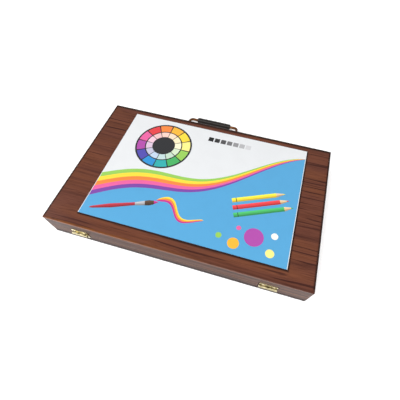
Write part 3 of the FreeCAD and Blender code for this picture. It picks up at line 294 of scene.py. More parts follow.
def handling(given):
    """Uneven tone, gloss and fine texture of a surface that has been handled."""
    scaled = {0: given["Place"], "Scale": given["Scale"]}
    spot = node("VectorMath", scaled, operation="SCALE").outputs[0]
    smudge = noise(spot, (1.0, 1.0, 1.0), detail=4.0)
    speck = noise(spot, (11.0, 11.0, 11.0))
    uneven = times(band(smudge, 0.38, 0.68), given["Amount"])
    darker = mixed(1.0, given["Tint"], (0.62, 0.60, 0.58), "MULTIPLY")
    toned = mixed(uneven, given["Tint"], darker)
    fine = times(speck, given["Amount"])
    return mixed(fine, toned, speck, "SOFT_LIGHT"), plus(times(uneven, 0.22), given["Gloss"]), speck


def picked_colour(given):
    """One of the set's colours, by its number."""
    along = calc("DIVIDE", plus(given["Number"], 0.5), float(len(PALETTE)))
    picked = node("ValToRGB", {0: along})
    picked.color_ramp.interpolation = "CONSTANT"
    stops = picked.color_ramp.elements
    for index, tint in enumerate(PALETTE.values()):
        stop = stops[index] if index < 2 else stops.new(index / len(PALETTE))
        stop.position = index / len(PALETTE)
        stop.color = (*tint, 1.0)
    return [picked.outputs[0]]


SURFACE = {"Colour": "Color", "Roughness": "Float", "Height": "Float"}


def grain(place, axis, deep, mid, warm):
    """Colour, roughness and height of wood whose grain runs along X or Y."""
    if axis == "Y":
        x, y, z = parts(place)
        place = node("CombineXYZ", {0: y, 1: x, 2: z}).outputs[0]
    return grouped("Wood Grain", wood_grain, SURFACE, Place=("Vector", place), Deep=("Color", deep),
                   Mid=("Color", mid), Warm=("Color", warm))


def handled(place, tint, scale, gloss, amount):
    """Colour, roughness and height of a handled surface of one colour or of a painted one."""
    return grouped("Handling", handling, SURFACE, Place=("Vector", place), Tint=("Color", tint),
                   Scale=("Float", scale), Gloss=("Float", gloss), Amount=("Float", amount))


def set_colour(number):
    """One of the set's colours."""
    return grouped("Set Colours", picked_colour, {"Colour": "Color"}, Number=("Float", number))["Colour"]


def finish(name, paint, bump=0.2, depth=0.0002, sockets=None):
    """A material: paint() gives colour, roughness and height from the piece's Object coordinates."""
    material = bpy.data.materials.new(name)
    material.use_nodes = True
    tree = material.node_tree
    shader = tree.nodes["Principled BSDF"]
    tint, rough, height = paint(tree.nodes.new("ShaderNodeTexCoord").outputs["Object"])
    tree.links.new(tint, shader.inputs["Base Color"])
    tree.links.new(rough, shader.inputs["Roughness"])
    raised = node("Bump", {"Strength": bump, "Distance": depth, "Height": height})
    tree.links.new(raised.outputs[0], shader.inputs["Normal"])
    for socket, given in (sockets or {}).items():
        shader.inputs[socket].default_value = given
    return material


def dress(material, *names):
    """Give CAD nodes a material."""
    for name in names:
        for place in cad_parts[name].material_slots:
            place.material = material


def plain_paint(tint, scale, gloss, amount):
    """Paint for a handled surface of one colour."""
    return partial(handled, tint=tint, scale=scale, gloss=gloss, amount=amount)


def placed(name, data, spot=Matrix()):
    """A new object of the scene."""
    made = bpy.data.objects.new(name, data)
    made.matrix_world = spot
    bpy.context.scene.collection.objects.link(made)
    return made


def shown(shape, name, material):
    """Make a finished mesh an object of the scene."""
    mesh = bpy.data.meshes.new(name)
    shape.to_mesh(mesh)
    shape.free()
    mesh.materials.append(material)
    return placed(name, mesh)


class ARTCASE_OT_stage(Operator):
    """Set the floor, the light and the camera"""
    bl_idname = "art_case.stage"
    bl_label = "Studio"

    FLOOR_HALF = 4.0
    FLOOR_DROP = 0.0003
    LAMPS_REACH = (0.7, 1.8)
    SKY_RISE = (0.1, 0.7)
    KEY_PLACE, KEY_SIZE = (-0.25, -1.0, 1.45), 1.3
    FILL_PLACE, FILL_SIZE = (1.4, -0.1, 0.9), 1.0

    def execute(self, context):
        stage = context.scene.art_case.stage
        shape = bmesh.new()
        bmesh.ops.create_grid(shape, x_segments=8, y_segments=8, size=self.FLOOR_HALF,
                              matrix=Matrix.Translation((0.0, 0.0, -self.FLOOR_DROP)))
        floor = shown(shape, "studio_floor", self.surface(stage))
        self.light(context, stage)
        self.camera(context, stage)
        context.scene.view_settings.view_transform = "Standard"
        return {"FINISHED"}

    def surface(self, stage):
        """Pale floor lit from below, more so far away, where the lamps don't reach."""
        material = finish("studio_floor", plain_paint(stage.floor, scale=3.0, gloss=0.6, amount=0.02),
                          bump=0.02, sockets={"Emission Strength": 1.0})
        tree = material.node_tree
        place = tree.nodes.new("ShaderNodeTexCoord").outputs["Object"]
        away = node("VectorMath", {0: place}, operation="LENGTH").outputs["Value"]
        glow = self.greys(band(away, *self.LAMPS_REACH), stage.glow, stage.far_glow)
        tree.links.new(glow, tree.nodes["Principled BSDF"].inputs["Emission Color"])
        return material

    def greys(self, mask, low, high):
        """One grey mixed into another."""
        return mixed(mask, [low] * 3, [high] * 3)

    def light(self, context, stage):
        """Soft boxes, and a sky that is pale low down and dimmer overhead."""
        world = bpy.data.worlds.new("Studio")
        world.use_nodes = True
        tree = world.node_tree
        height = parts(tree.nodes.new("ShaderNodeTexCoord").outputs["Generated"])[2]
        sky = self.greys(band(height, *self.SKY_RISE), stage.horizon, stage.ceiling)
        tree.links.new(sky, tree.nodes["Background"].inputs["Color"])
        context.scene.world = world
        far, *rest = self.FILL_PLACE
        boxes = (("key_light", self.KEY_PLACE, self.KEY_SIZE, stage.key_power),
                 ("left_light", (-far, *rest), self.FILL_SIZE, stage.fill_power),
                 ("right_light", (far, *rest), self.FILL_SIZE, stage.fill_power))
        for name, spot, size, power in boxes:
            lamp = bpy.data.lights.new(name, "AREA")
            lamp.size, lamp.energy = size, power
            turn = (-Vector(spot)).to_track_quat("-Z", "Y").to_matrix().to_4x4()
            placed(name, lamp, Matrix.Translation(spot) @ turn)

    def camera(self, context, stage):
        """A camera at the photograph's place and angle."""
        lens = bpy.data.cameras.new("camera")
        lens.lens = stage.lens
        lens.shift_x, lens.shift_y = stage.shift
        lens.clip_start = 0.01
        spot = Matrix.Translation(stage.eye)
        from_overhead = math.pi / 2.0 - stage.elevation
        for turn, axis in ((stage.azimuth, "Z"), (from_overhead, "X"), (stage.roll, "Z")):
            spot @= Matrix.Rotation(turn, 4, axis)
        context.scene.camera = placed("camera", lens, spot)


class ARTCASE_OT_walnut(Operator):
    """Lacquer the case's walls and panels"""
    bl_idname = "art_case.walnut"
    bl_label = "Walnut"

    STAIN_AND_SHADE_COVER = 0.9
    HINGE_SHADOW_COVER = 0.85
    RIM_COVER = 0.75
    RIM_EDGE = (0.0004, 0.0002)
    THIN_HAZE, THICK_HAZE, CORNER_HAZE = 0.7, 1.3, 2.0
    CORNER_START, CORNER_COVER = 0.4, 0.6
    FOOT_SHADE_FADE = (1.9, 0.5)

    def execute(self, context):
        wood = context.scene.art_case.wood
        # The walls are darkened as painted shade; the hinge side also gets a grey painted reflection and
        # less real shine
        long_way = self.lacquer("walnut_along", self.wall_paint(wood, "X"), shine=0.06)
        cross_way = self.lacquer("walnut_across", self.wall_paint(wood, "Y"), shine=0.06)
        rear = self.lacquer("walnut_hinge_side", self.wall_paint(wood, "X", wood.reflection_grey), shine=0.015)
        top = self.lacquer("walnut_lid_top", self.top_paint(wood), shine=0.15)
        # Bottom panel dark and without reflection: its edge is a painted shadow line along the case's foot
        dark = finish("stain_and_shade_panel", plain_paint(wood.stain_and_shade, scale=90.0, gloss=0.5, amount=0.4),
                      sockets={"Specular IOR Level": 0.0})
        dress(top, "top_panel")
        dress(dark, "bottom_panel")
        dress(long_way, "base_front_wall", "lid_front_wall")
        dress(rear, "base_rear_wall", "lid_rear_wall")
        dress(cross_way, *[f"{part}_{side}_wall" for part in ("base", "lid") for side in SIDES])
        return {"FINISHED"}

    def lacquer(self, name, paint, shine):
        """Lacquered walnut with so much shine."""
        return finish(name, paint, bump=0.12, sockets={"Specular IOR Level": shine})

    def walnut(self, place, wood, axis):
        """Colour, roughness and height of the case's wood, with its grain along one axis."""
        return grain(place, axis, wood.deep, wood.mid, wood.warm)

    def top_paint(self, wood):
        """The lid's top: darker edges, a worn hinge edge and a painted shadow beside the card."""
        low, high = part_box("top_panel")
        left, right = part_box("label_card")
        edge, lean = wood.edge_width, wood.card_shade / 3.0

        def painted(place):
            tint, rough, height = self.walnut(place, wood, "X")
            x, y, z = parts(place)
            far = times(minus(high.y, y), wood.far_edge)
            end = least(far, minus(y, low.y))
            inside = least(minus(high.x, distance(x)), end)
            rubbed = band(noise(place, (70.0, 40.0, 40.0)), 0.24, 0.52)
            faded = times(rubbed, band(x, 0.7 * high.x, -0.7 * high.x))
            upright = band(z, high.z - 0.2 * edge, high.z - 0.35 * edge)
            worn = most(faded, times(upright, 0.6))
            thin = mixed(worn, mixed(0.4, tint, wood.deep), wood.arris)
            rear = band(y, low.y + 2.0 * edge, low.y)
            stain_and_shade = mixed(rear, wood.stain_and_shade, thin)
            near = times(band(inside, edge, 0.4 * edge), self.STAIN_AND_SHADE_COVER)
            # Painted shadow of the card, shifted to fall wider on its near and right sides
            off = most(beyond(x, left.x + lean, right.x + lean),
                       beyond(y, left.y - lean, right.y - lean))
            beside = band(off, wood.card_shade, 0.2 * wood.card_shade)
            tint = mixed(near, tint, stain_and_shade)
            tint = mixed(times(beside, self.STAIN_AND_SHADE_COVER), tint, wood.stain_and_shade)
            return tint, rough, height

        return painted

    def wall_paint(self, wood, axis, reflection_grey=Color()):
        """A wall darkened as painted shade, with a grey painted reflection in streaks that grows towards its
        ends, a painted shadow at its foot and a pale rim.
        """
        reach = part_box("top_panel")[1].x
        parting = (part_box("base_front_wall")[1].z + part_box("lid_front_wall")[0].z) / 2.0

        def painted(place):
            tint, rough, height = self.walnut(place, wood, axis)
            x, _, z = parts(place)
            # Painted reflection: a grey in streaks, brighter towards the wall's ends
            streaks = band(noise(place, (5.0, 170.0, 170.0)), 0.36, 0.64)
            film = mixed(streaks, reflection_grey * self.THIN_HAZE, reflection_grey * self.THICK_HAZE)
            ends = times(band(distance(x), self.CORNER_START * reach, reach), self.CORNER_COVER)
            dull = mixed(ends, film, reflection_grey * self.CORNER_HAZE)
            # Painted shade: the wood darkened, mixed with the painted reflection grey
            tint = mixed(wood.shade, tint, dull)
            if any(reflection_grey):
                tint = self.shaded_round_hinges(x, z, wood, tint)
            # Painted shadow at the foot, fading upwards
            foot = band(z, *[part * wood.foot_shade_height for part in self.FOOT_SHADE_FADE])
            tint = mixed(foot, tint, wood.stain_and_shade)
            worn = mixed(0.45, wood.rim, times(rough, 2.2), "SOFT_LIGHT")
            bare = times(band(distance(z, parting), *self.RIM_EDGE), self.RIM_COVER)
            return mixed(bare, tint, worn), rough, height

        return painted

    def shaded_round_hinges(self, x, z, wood, tint):
        """Painted shadow on the wall round each hinge."""
        for side in SIDES:
            low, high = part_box(f"hinge_{side}_base_leaf")[0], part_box(f"hinge_{side}_lid_leaf")[1]
            off = most(beyond(x, low.x, high.x), beyond(z, low.z, high.z))
            close = band(off, wood.hinge_shadow_width, 0.3 * wood.hinge_shadow_width)
            tint = mixed(times(close, self.HINGE_SHADOW_COVER), tint, wood.stain_and_shade)
        return tint


class ARTCASE_OT_brassware(Operator):
    """Finish the hinges, the latches and the handle's metal"""
    bl_idname = "art_case.brassware"
    bl_label = "Brassware"

    KNUCKLES = 5
    CORNER_FILM = (0.0005, 0.0001)
    GAP_FILM = (0.0005, 0.0002)
    BRIGHT_RIM = (0.0003, 0.0009)

    def execute(self, context):
        metal = context.scene.art_case.metal
        brass = self.solid("brass", self.paint(metal.brass))
        dress(brass, *[f"latch_{side}_{piece}" for side in SIDES
                       for piece in ("base_plate", "tongue", "pin", "keeper")],
              "hinge_base_screws", "hinge_lid_screws", "latch_base_nails", "latch_keeper_nails")
        # The right hinge is a darker copy of the left one, as painted shade
        for side, hinge_shade in zip(SIDES, (0.0, metal.hinge_shade)):
            leaves = [f"hinge_{side}_{piece}" for piece in ("base_leaf", "lid_leaf", "pin")]
            dress(self.solid(f"brass_hinge_{side}", self.tarnished_and_shaded(metal, leaves[0], leaves[2], hinge_shade)), *leaves)
        bail = self.solid("bail_brass", self.paint(metal.bail, gloss=0.24, amount=0.6))
        dress(bail, "handle_bail", "handle_left_bracket", "handle_right_bracket", "handle_bracket_screws")
        return {"FINISHED"}

    def solid(self, name, paint):
        """A metal."""
        return finish(name, paint, bump=0.15, depth=0.0001, sockets={"Metallic": 1.0})

    def tarnished_and_shaded(self, metal, leaf, pin, hinge_shade):
        """Hinge brass with a dark tarnish film between its knuckles and beside its barrel, and painted shade
        inside its rims.
        """
        low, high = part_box(leaf)
        under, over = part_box(pin)
        middle, barrel = (under.z + over.z) / 2.0, over.z - under.z
        half_knuckle = (high.x - low.x) / self.KNUCKLES / 2.0
        clean = self.paint(metal.hinge)

        def painted(place):
            base, rough, height = clean(place)
            x, _, z = parts(place)
            out = distance(z, middle)
            corner = band(distance(out, barrel), *self.CORNER_FILM)
            joint = calc("PINGPONG", minus(x, low.x), half_knuckle)
            gap = times(band(joint, *self.GAP_FILM), below(out, barrel))
            patchy = band(noise(place, (300.0, 300.0, 300.0)), 0.30, 0.72)
            ends = least(minus(x, low.x), minus(high.x, x))
            rim = least(ends, minus(middle - low.z, out))
            seams = times(most(corner, gap), patchy)
            # Tarnish in the seams, and painted shade inside the rims
            film = most(seams, times(band(rim, *self.BRIGHT_RIM), hinge_shade))
            dull = plus(rough, times(film, 0.3))
            return mixed(film, base, metal.tarnish), dull, height

        return painted

    def paint(self, tint, gloss=0.20, amount=0.35):
        """Metal with fine rolling marks along the case and tarnish in patches."""
        def painted(place):
            base, rough, height = handled(place, tint, scale=160.0, gloss=gloss, amount=amount)
            marks = noise(place, (60.0, 2600.0, 2600.0))
            return mixed(0.3, base, marks, "SOFT_LIGHT"), rough, plus(marks, height)

        return painted


class ARTCASE_OT_grip(Operator):
    """Finish the handle's sleeve"""
    bl_idname = "art_case.grip"
    bl_label = "Grip"

    def execute(self, context):
        plastic = context.scene.art_case.plastic
        sleeve = plain_paint(plastic.grip, scale=220.0, gloss=0.34, amount=0.5)
        dress(finish("grip_plastic", sleeve, bump=0.25, sockets={"Specular IOR Level": 0.3}), "handle_grip")
        return {"FINISHED"}


class ARTCASE_OT_label(Operator):
    """Print the card on the lid"""
    bl_idname = "art_case.label"
    bl_label = "Label"

    # Places are in metres from the card's middle, and lengths, widths and radii in metres.
    INK = "ink"
    COATED = {"Coat Weight": 0.3, "Coat Roughness": 0.12}
    CUT_EDGE = (0.00001, 0.00008)
    WAVE_FOOT, WAVE_RISE, WAVE_BOW = -0.078, 0.150, 1.15
    SWELL_HEIGHT, SWELL_TURN, SWELL_START = 0.014, 2.5 * math.pi, 0.4
    FIELD_STEPS = 96
    RIBBONS = ("purple", "rose", "orange", "yellow", "leaf")
    CIRCLE_PLACE = (-0.078, 0.047)
    HUES = ("lemon", "yellow", "amber", "orange", "red", "rose",
            "violet", "indigo", "blue", "teal", "green", "leaf")
    HUE_RING, TINT_RING = (0.66, 0.94), (0.40, 0.62)
    HUE_SPACE, TINT_SHARE, TINT_LIFT = 0.045, 0.45, 0.5
    TONES, TONE_SIDE, TONE_PITCH, TONE_PLACE = 7, 0.0085, 0.0105, (-0.012, 0.078)
    TONE_DARK, TONE_RANGE, TONE_BLUE = 0.012, 0.62, 1.03
    DROPS = ((0.098, -0.070, 0.0135, "violet"), (0.073, -0.086, 0.0080, "amber"),
             (0.123, -0.087, 0.0060, "lemon"), (0.125, -0.061, 0.0048, "white"),
             (0.051, -0.080, 0.0042, "leaf"), (0.075, -0.062, 0.0034, "rose"))
    ROUND_LIGHT, ROUND_BRIGHTEST = ((-1.0, 0.62), (-1.0 / 3.0, 1.0), (1.0 / 3.0, 1.35)), 0.9
    PENCILS, PENCIL_PLACE, PENCIL_TURN = ("yellow", "red", "green"), (0.055, -0.022), math.radians(24.0)
    PENCIL_STEP, PENCIL_PITCH = 0.004, 0.0115
    PENCIL_RING, PENCIL_POINT = (0.006, 0.007), (0.066, 0.076, 0.080)
    PENCIL_WIDTHS = (0.0036, 0.0036, 0.0036, 0.0036, 0.0012, 0.0)
    PENCIL_WOOD, PENCIL_BLACK = (0.72, 0.50, 0.28), (0.03, 0.03, 0.035)
    BRUSH_PLACE, BRUSH_TURN = (-0.137, -0.090), math.radians(21.0)
    BRUSH_ALONG = (0.0, 0.004, 0.030, 0.060, 0.064, 0.078, 0.084, 0.091, 0.098)
    BRUSH_WIDTHS = (0.0008, 0.0018, 0.0034, 0.0025, 0.0026, 0.0037, 0.0044, 0.0030, 0.0)
    BRUSH_WOOD, BRUSH_METAL, BRUSH_HAIR = (0.42, 0.03, 0.05), (0.40, 0.40, 0.42), (0.09, 0.05, 0.03)
    STROKE_PLACE, STROKE_TURN = (-0.050, -0.052), math.radians(-20.0)
    STROKE_LENGTH, STROKE_WIDTH, STROKE_STEPS = 0.075, 0.0052, 40
    STROKE_BEND, STROKE_BENDS, STROKE_CLIMB = 0.009, 2.3 * math.pi, 0.006

    def execute(self, context):
        label = context.scene.art_case.label
        low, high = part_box("label_card")
        self.middle = (low + high) / 2.0
        self.half = (high - low) / 2.0
        self.lift = label.ink_lift
        self.level = high.z
        board = finish("card", self.card_paint(label), bump=0.1, depth=0.0001, sockets=self.COATED)
        dress(board, "label_card")
        self.shape = bmesh.new()
        self.ink = self.shape.loops.layers.float_color.new(self.INK)
        self.field(label)
        self.circle(label)
        self.tones()
        self.drops()
        self.pencils()
        self.brush(label)
        bmesh.ops.remove_doubles(self.shape, verts=self.shape.verts[:], dist=0.02 * self.lift)
        for face in self.shape.faces:
            if face.normal.z < 0.0:
                face.normal_flip()
        bmesh.ops.solidify(self.shape, geom=self.shape.faces[:], thickness=0.6 * self.lift)
        ink = finish("printed_ink", self.ink_paint, bump=0.03, depth=0.0001, sockets=self.COATED)
        piece = shown(self.shape, "label_print", ink)
        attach(piece, "lid")
        return {"FINISHED"}

    def card_paint(self, label):
        """White face with faint fibres, and a cut edge painted dark as a shadow line."""
        top, foot = (self.level - drop for drop in self.CUT_EDGE)

        def painted(place):
            base, rough, height = handled(place, label.paper, scale=40.0, gloss=0.28, amount=0.05)
            # Painted shadow: the card's cut edge dark
            under = band(parts(place)[2], top, foot)
            return mixed(under, base, label.core), rough, height

        return painted

    def ink_paint(self, place):
        """Colour of the ink on each face, with the press's slight unevenness."""
        source = place.id_data.nodes.new("ShaderNodeAttribute")
        source.attribute_name = self.INK
        return handled(place, source.outputs["Color"], scale=55.0, gloss=0.26, amount=0.05)

    def tint(self, faces, tone):
        """Ink some faces."""
        for face in faces:
            for loop in face.loops:
                loop[self.ink] = (*tone, 1.0)

    def on_card(self, x, y, layer):
        """A place on the card, a few layers of ink up."""
        return Vector((self.middle.x + x, self.middle.y + y, self.level + layer * self.lift))

    def strip(self, along, lows, highs, tones, layer, turn=0.0, spot=(0.0, 0.0)):
        """A strip of ink between two edges, one colour for each of its lengths or one for all."""
        made = bmesh.ops.create_grid(self.shape, x_segments=len(along) - 1, y_segments=1, size=1.0)["verts"]
        columns = sorted(made, key=lambda vert: (round(vert.co.x, 5), vert.co.y))
        move = Matrix.Translation((*spot, 0.0)) @ Matrix.Rotation(turn, 4, "Z")
        for step, x in enumerate(along):
            for row, edge in enumerate((lows, highs)):
                point = move @ Vector((x, edge[step], 0.0))
                columns[2 * step + row].co = self.on_card(point.x, point.y, layer)
        for face in {face for vert in made for face in vert.link_faces}:
            first = min(columns.index(vert) // 2 for vert in face.verts)
            self.tint([face], tones[first % len(tones)])

    def disc(self, x, y, radius, tone, layer):
        """A round spot of ink."""
        centre = Matrix.Translation(self.on_card(x, y, layer))
        made = bmesh.ops.create_circle(self.shape, cap_ends=True, segments=64, radius=radius, matrix=centre)
        self.tint({face for vert in made["verts"] for face in vert.link_faces}, tone)

    def wave(self, x):
        """Upper edge of the large field across the card."""
        part = (x + self.half.x) / (2.0 * self.half.x)
        swell = self.SWELL_HEIGHT * math.sin(self.SWELL_TURN * part + self.SWELL_START)
        return self.WAVE_FOOT + self.WAVE_RISE * part ** self.WAVE_BOW + swell

    def field(self, label):
        """A large blue field under a wave, with ribbons of colour along its crest."""
        reach = self.half.x - label.margin
        along = [reach * (2.0 * step / self.FIELD_STEPS - 1.0) for step in range(self.FIELD_STEPS + 1)]
        widths = [label.ribbon_width * (0.5 - 0.5 * x / self.half.x) ** 0.8 for x in along]
        crest = [self.wave(x) for x in along]
        self.strip(along, [-self.half.y] * len(along), crest, [label.sky], 1)
        for name in self.RIBBONS:
            upper = [min(y + width, self.half.y) for y, width in zip(crest, widths)]
            self.strip(along, crest, upper, [PALETTE[name]], 1)
            crest = upper

    def circle(self, label):
        """A colour circle of twelve hues and twelve tints on a charcoal round."""
        (x, y), radius = self.CIRCLE_PLACE, label.circle_radius
        self.disc(x, y, radius, label.charcoal, 2)
        sector = 2.0 * math.pi / len(self.HUES)
        for step, name in enumerate(self.HUES):
            hue, turn = PALETTE[name], sector * step
            pale = tuple(self.TINT_SHARE * channel + self.TINT_LIFT for channel in hue)
            for ring, tone in ((self.HUE_RING, hue), (self.TINT_RING, pale)):
                before = set(self.shape.faces)
                verts = [self.shape.verts.new(self.on_card(x + radius * size * math.cos(turn),
                                                           y + radius * size * math.sin(turn), 3))
                         for size in ring]
                edge = self.shape.edges.new(verts)
                bmesh.ops.spin(self.shape, geom=verts + [edge], axis=(0.0, 0.0, 1.0),
                               cent=self.on_card(x, y, 3), steps=6, angle=sector - self.HUE_SPACE,
                               use_duplicate=False)
                self.tint(set(self.shape.faces) - before, tone)

    def tones(self):
        """A row of greys from black to pale."""
        x, y = self.TONE_PLACE
        side = self.TONE_SIDE
        for step in range(self.TONES):
            grey = self.TONE_DARK + self.TONE_RANGE * (step / (self.TONES - 1)) ** 2
            self.strip([0.0, side], [0.0, 0.0], [side, side], [(grey, grey, grey * self.TONE_BLUE)], 1,
                       spot=(x + self.TONE_PITCH * step, y))

    def drops(self):
        """Drops of paint on the field."""
        for x, y, radius, name in self.DROPS:
            self.disc(x, y, radius, PALETTE[name], 2)

    def pencils(self):
        """Three pencils side by side."""
        x, y = self.PENCIL_PLACE
        for step, name in enumerate(self.PENCILS):
            tone, longer = PALETTE[name], self.PENCIL_STEP * step
            along = [0.0, *self.PENCIL_RING, *[end + longer for end in self.PENCIL_POINT]]
            tones = (tone, self.PENCIL_BLACK, tone, self.PENCIL_WOOD, tone)
            spot = (x + longer, y - self.PENCIL_PITCH * step)
            self.rounded(along, self.PENCIL_WIDTHS, tones, self.PENCIL_TURN, spot)

    def rounded(self, along, widths, tones, turn, spot):
        """A long thing shaded as if it were round: three strips, the upper one lightest."""
        for side, light in self.ROUND_LIGHT:
            lit = [tuple(min(self.ROUND_BRIGHTEST, channel * light) for channel in tone) for tone in tones]
            self.strip(along, [width * side for width in widths],
                       [width * (side + 2.0 / 3.0) for width in widths], lit, 3, turn, spot)

    def brush(self, label):
        """A brush and the stroke that it has left, in three colours."""
        tones = (self.BRUSH_WOOD,) * 4 + (self.BRUSH_METAL, self.BRUSH_HAIR, self.BRUSH_HAIR, label.accent)
        self.rounded(self.BRUSH_ALONG, self.BRUSH_WIDTHS, tones, self.BRUSH_TURN, self.BRUSH_PLACE)
        steps = [step / self.STROKE_STEPS for step in range(self.STROKE_STEPS + 1)]
        along = [self.STROKE_LENGTH * part for part in steps]
        # The stroke starts round and thins towards its end.
        swell = [self.STROKE_WIDTH * min(1.0, 9.0 * part) ** 0.5 * (1.0 - part) ** 0.35 for part in steps]
        middle = [self.STROKE_BEND * math.sin(self.STROKE_BENDS * part) + self.STROKE_CLIMB * part
                  for part in steps]
        lines = ((-1.0, -0.3, label.accent), (-0.3, 0.35, PALETTE["orange"]), (0.35, 1.0, PALETTE["yellow"]))
        for low, high, tone in lines:
            edges = [[line + side * width for line, width in zip(middle, swell)] for side in (low, high)]
            self.strip(along, *edges, [tone], 2, self.STROKE_TURN, self.STROKE_PLACE)


class ARTCASE_OT_trays(Operator):
    """Finish the two formed trays"""
    bl_idname = "art_case.trays"
    bl_label = "Trays"

    def execute(self, context):
        plastic = context.scene.art_case.plastic
        sheet = plain_paint(plastic.tray, scale=260.0, gloss=0.36, amount=0.5)
        dress(finish("tray_plastic", sheet, bump=0.3, depth=0.00025), "base_tray", "lid_tray")
        return {"FINISHED"}


class ARTCASE_OT_pencils(Operator):
    """Paint the coloured and the graphite pencils"""
    bl_idname = "art_case.pencils"
    bl_label = "Pencils"

    DIP_EDGE = (-0.0001, 0.0001)
    FOIL_EDGE = (0.0011, 0.0013)
    BARE_SLOPE = (0.04, 0.08)
    CEDAR_DEEP, CEDAR_WARM = (0.34, 0.19, 0.09), (0.72, 0.50, 0.30)

    def execute(self, context):
        settings = context.scene.art_case
        self.supply, self.wood = settings.supply, settings.wood
        low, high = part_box("colour_pencil_barrels")
        self.rear = low.y
        self.first = low.x + (high.z - low.z) / 2.0
        self.foil = settings.metal.brass
        gloss = {"Coat Weight": 0.5, "Coat Roughness": 0.1}
        for name, barrels, coloured in (("pencil_lacquer", "colour_pencil_barrels", True),
                                        ("graphite_pencil_lacquer", "graphite_pencil_barrels", False)):
            dress(finish(name, self.barrel(coloured), bump=0.1, sockets=gloss), barrels)
        dress(finish("coloured_lead", self.lead), "colour_pencil_leads")
        graphite = plain_paint(self.supply.graphite, scale=300.0, gloss=0.32, amount=0.4)
        dress(finish("graphite", graphite), "graphite_pencil_leads")
        return {"FINISHED"}

    def own_colour(self, x):
        """Colour of the pencil of the row that a point belongs to."""
        supply = self.supply
        start = self.first - supply.pencil_pitch / 2.0
        run = supply.pencil_group * supply.pencil_pitch + supply.pencil_gap
        off = minus(x, start)
        group = cell(off, -supply.pencil_gap / 2.0, run)
        closed = minus(off, times(group, supply.pencil_gap))
        return set_colour(cell(closed, 0.0, supply.pencil_pitch))

    def barrel(self, coloured):
        """Dark lacquer with a foil ring and a dipped end, and bare wood where it is sharpened."""
        end = self.rear + self.supply.dip_length
        (dip_low, dip_high), (foil_low, foil_high) = self.DIP_EDGE, self.FOIL_EDGE

        def painted(place):
            x, y, _ = parts(place)
            dip = self.own_colour(x) if coloured else self.supply.graphite_dip
            past_foil = band(y, end + foil_low, end + foil_high)
            ring = mixed(past_foil, self.foil, self.supply.lacquer)
            coat = mixed(band(y, end + dip_low, end + dip_high), dip, ring)
            bare = band(parts(place.node.outputs["Normal"])[1], *self.BARE_SLOPE)
            cedar = grain(place, "Y", self.CEDAR_DEEP, self.wood.pale, self.CEDAR_WARM)["Colour"]
            tint, gloss, fine = handled(place, coat, scale=180.0, gloss=0.22, amount=0.12)
            return mixed(bare, tint, cedar), plus(gloss, times(bare, 0.4)), fine

        return painted

    def lead(self, place):
        """Waxy lead in the pencil's own colour."""
        own = self.own_colour(parts(place)[0])
        return handled(place, own, scale=300.0, gloss=0.42, amount=0.25)


class ARTCASE_OT_pastels(Operator):
    """Colour the pastels and print their wrappers"""
    bl_idname = "art_case.pastels"
    bl_label = "Pastels"

    # Two lines round each end of a wrapper, in metres from the end.
    LINES = ((0.004, 0.0075), (0.0088, 0.0096))

    def execute(self, context):
        self.supply = context.scene.art_case.supply
        low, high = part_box("pastel_sticks")
        self.start = (low.x + high.x) / 2.0 - self.supply.pastel_row / 2.0 * self.supply.pastel_pitch
        self.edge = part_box("pastel_wrappers")[1].y
        dress(finish("pastel", self.stick, bump=0.4, depth=0.0004, sockets={"Subsurface Weight": 0.05}),
              "pastel_sticks")
        dress(finish("wrapper", self.paper), "pastel_wrappers")
        return {"FINISHED"}

    def own_colour(self, place):
        """Colour of the pastel that a point belongs to: one row at the front, then one at the rear."""
        x, y, _ = parts(place)
        column = cell(x, self.start, self.supply.pastel_pitch)
        row = times(below(y, 0.0), float(self.supply.pastel_row))
        return set_colour(plus(column, row))

    def stick(self, place):
        """Soft waxy pastel."""
        return handled(place, self.own_colour(place), scale=210.0, gloss=0.55, amount=0.35)

    def paper(self, place):
        """White paper with two lines in the stick's colour near each end."""
        across = distance(parts(place)[1])
        inner = self.edge - self.supply.wrapper_length
        near = least(minus(self.edge, across), minus(across, inner))
        lines = [times(above(near, low), below(near, high)) for low, high in self.LINES]
        printed = mixed(most(*lines), self.supply.wrapper, self.own_colour(place))
        return handled(place, printed, scale=240.0, gloss=0.5, amount=0.14)


class ARTCASE_OT_cakes(Operator):
    """Colour the watercolour cakes"""
    bl_idname = "art_case.cakes"
    bl_label = "Cakes"

    def execute(self, context):
        supply = context.scene.art_case.supply
        self.pitch = Vector((supply.cake_pitch_x, supply.cake_pitch_y))
        dress(finish("cake", self.paint, bump=0.5, depth=0.0004), "paint_cakes")
        return {"FINISHED"}

    def paint(self, place):
        """Chalky pigment, one colour to each cake of the grid."""
        low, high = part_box("paint_cakes")
        cells, counts = [], []
        for axis, pitch in enumerate(self.pitch):
            count = math.ceil((high[axis] - low[axis]) / pitch)
            start = (low[axis] + high[axis]) / 2.0 - count * pitch / 2.0
            cells.append(cell(parts(place)[axis], start, pitch))
            counts.append(count)
        number = plus(cells[0], times(cells[1], float(counts[0])))
        return handled(place, set_colour(number), scale=190.0, gloss=0.66, amount=0.4)


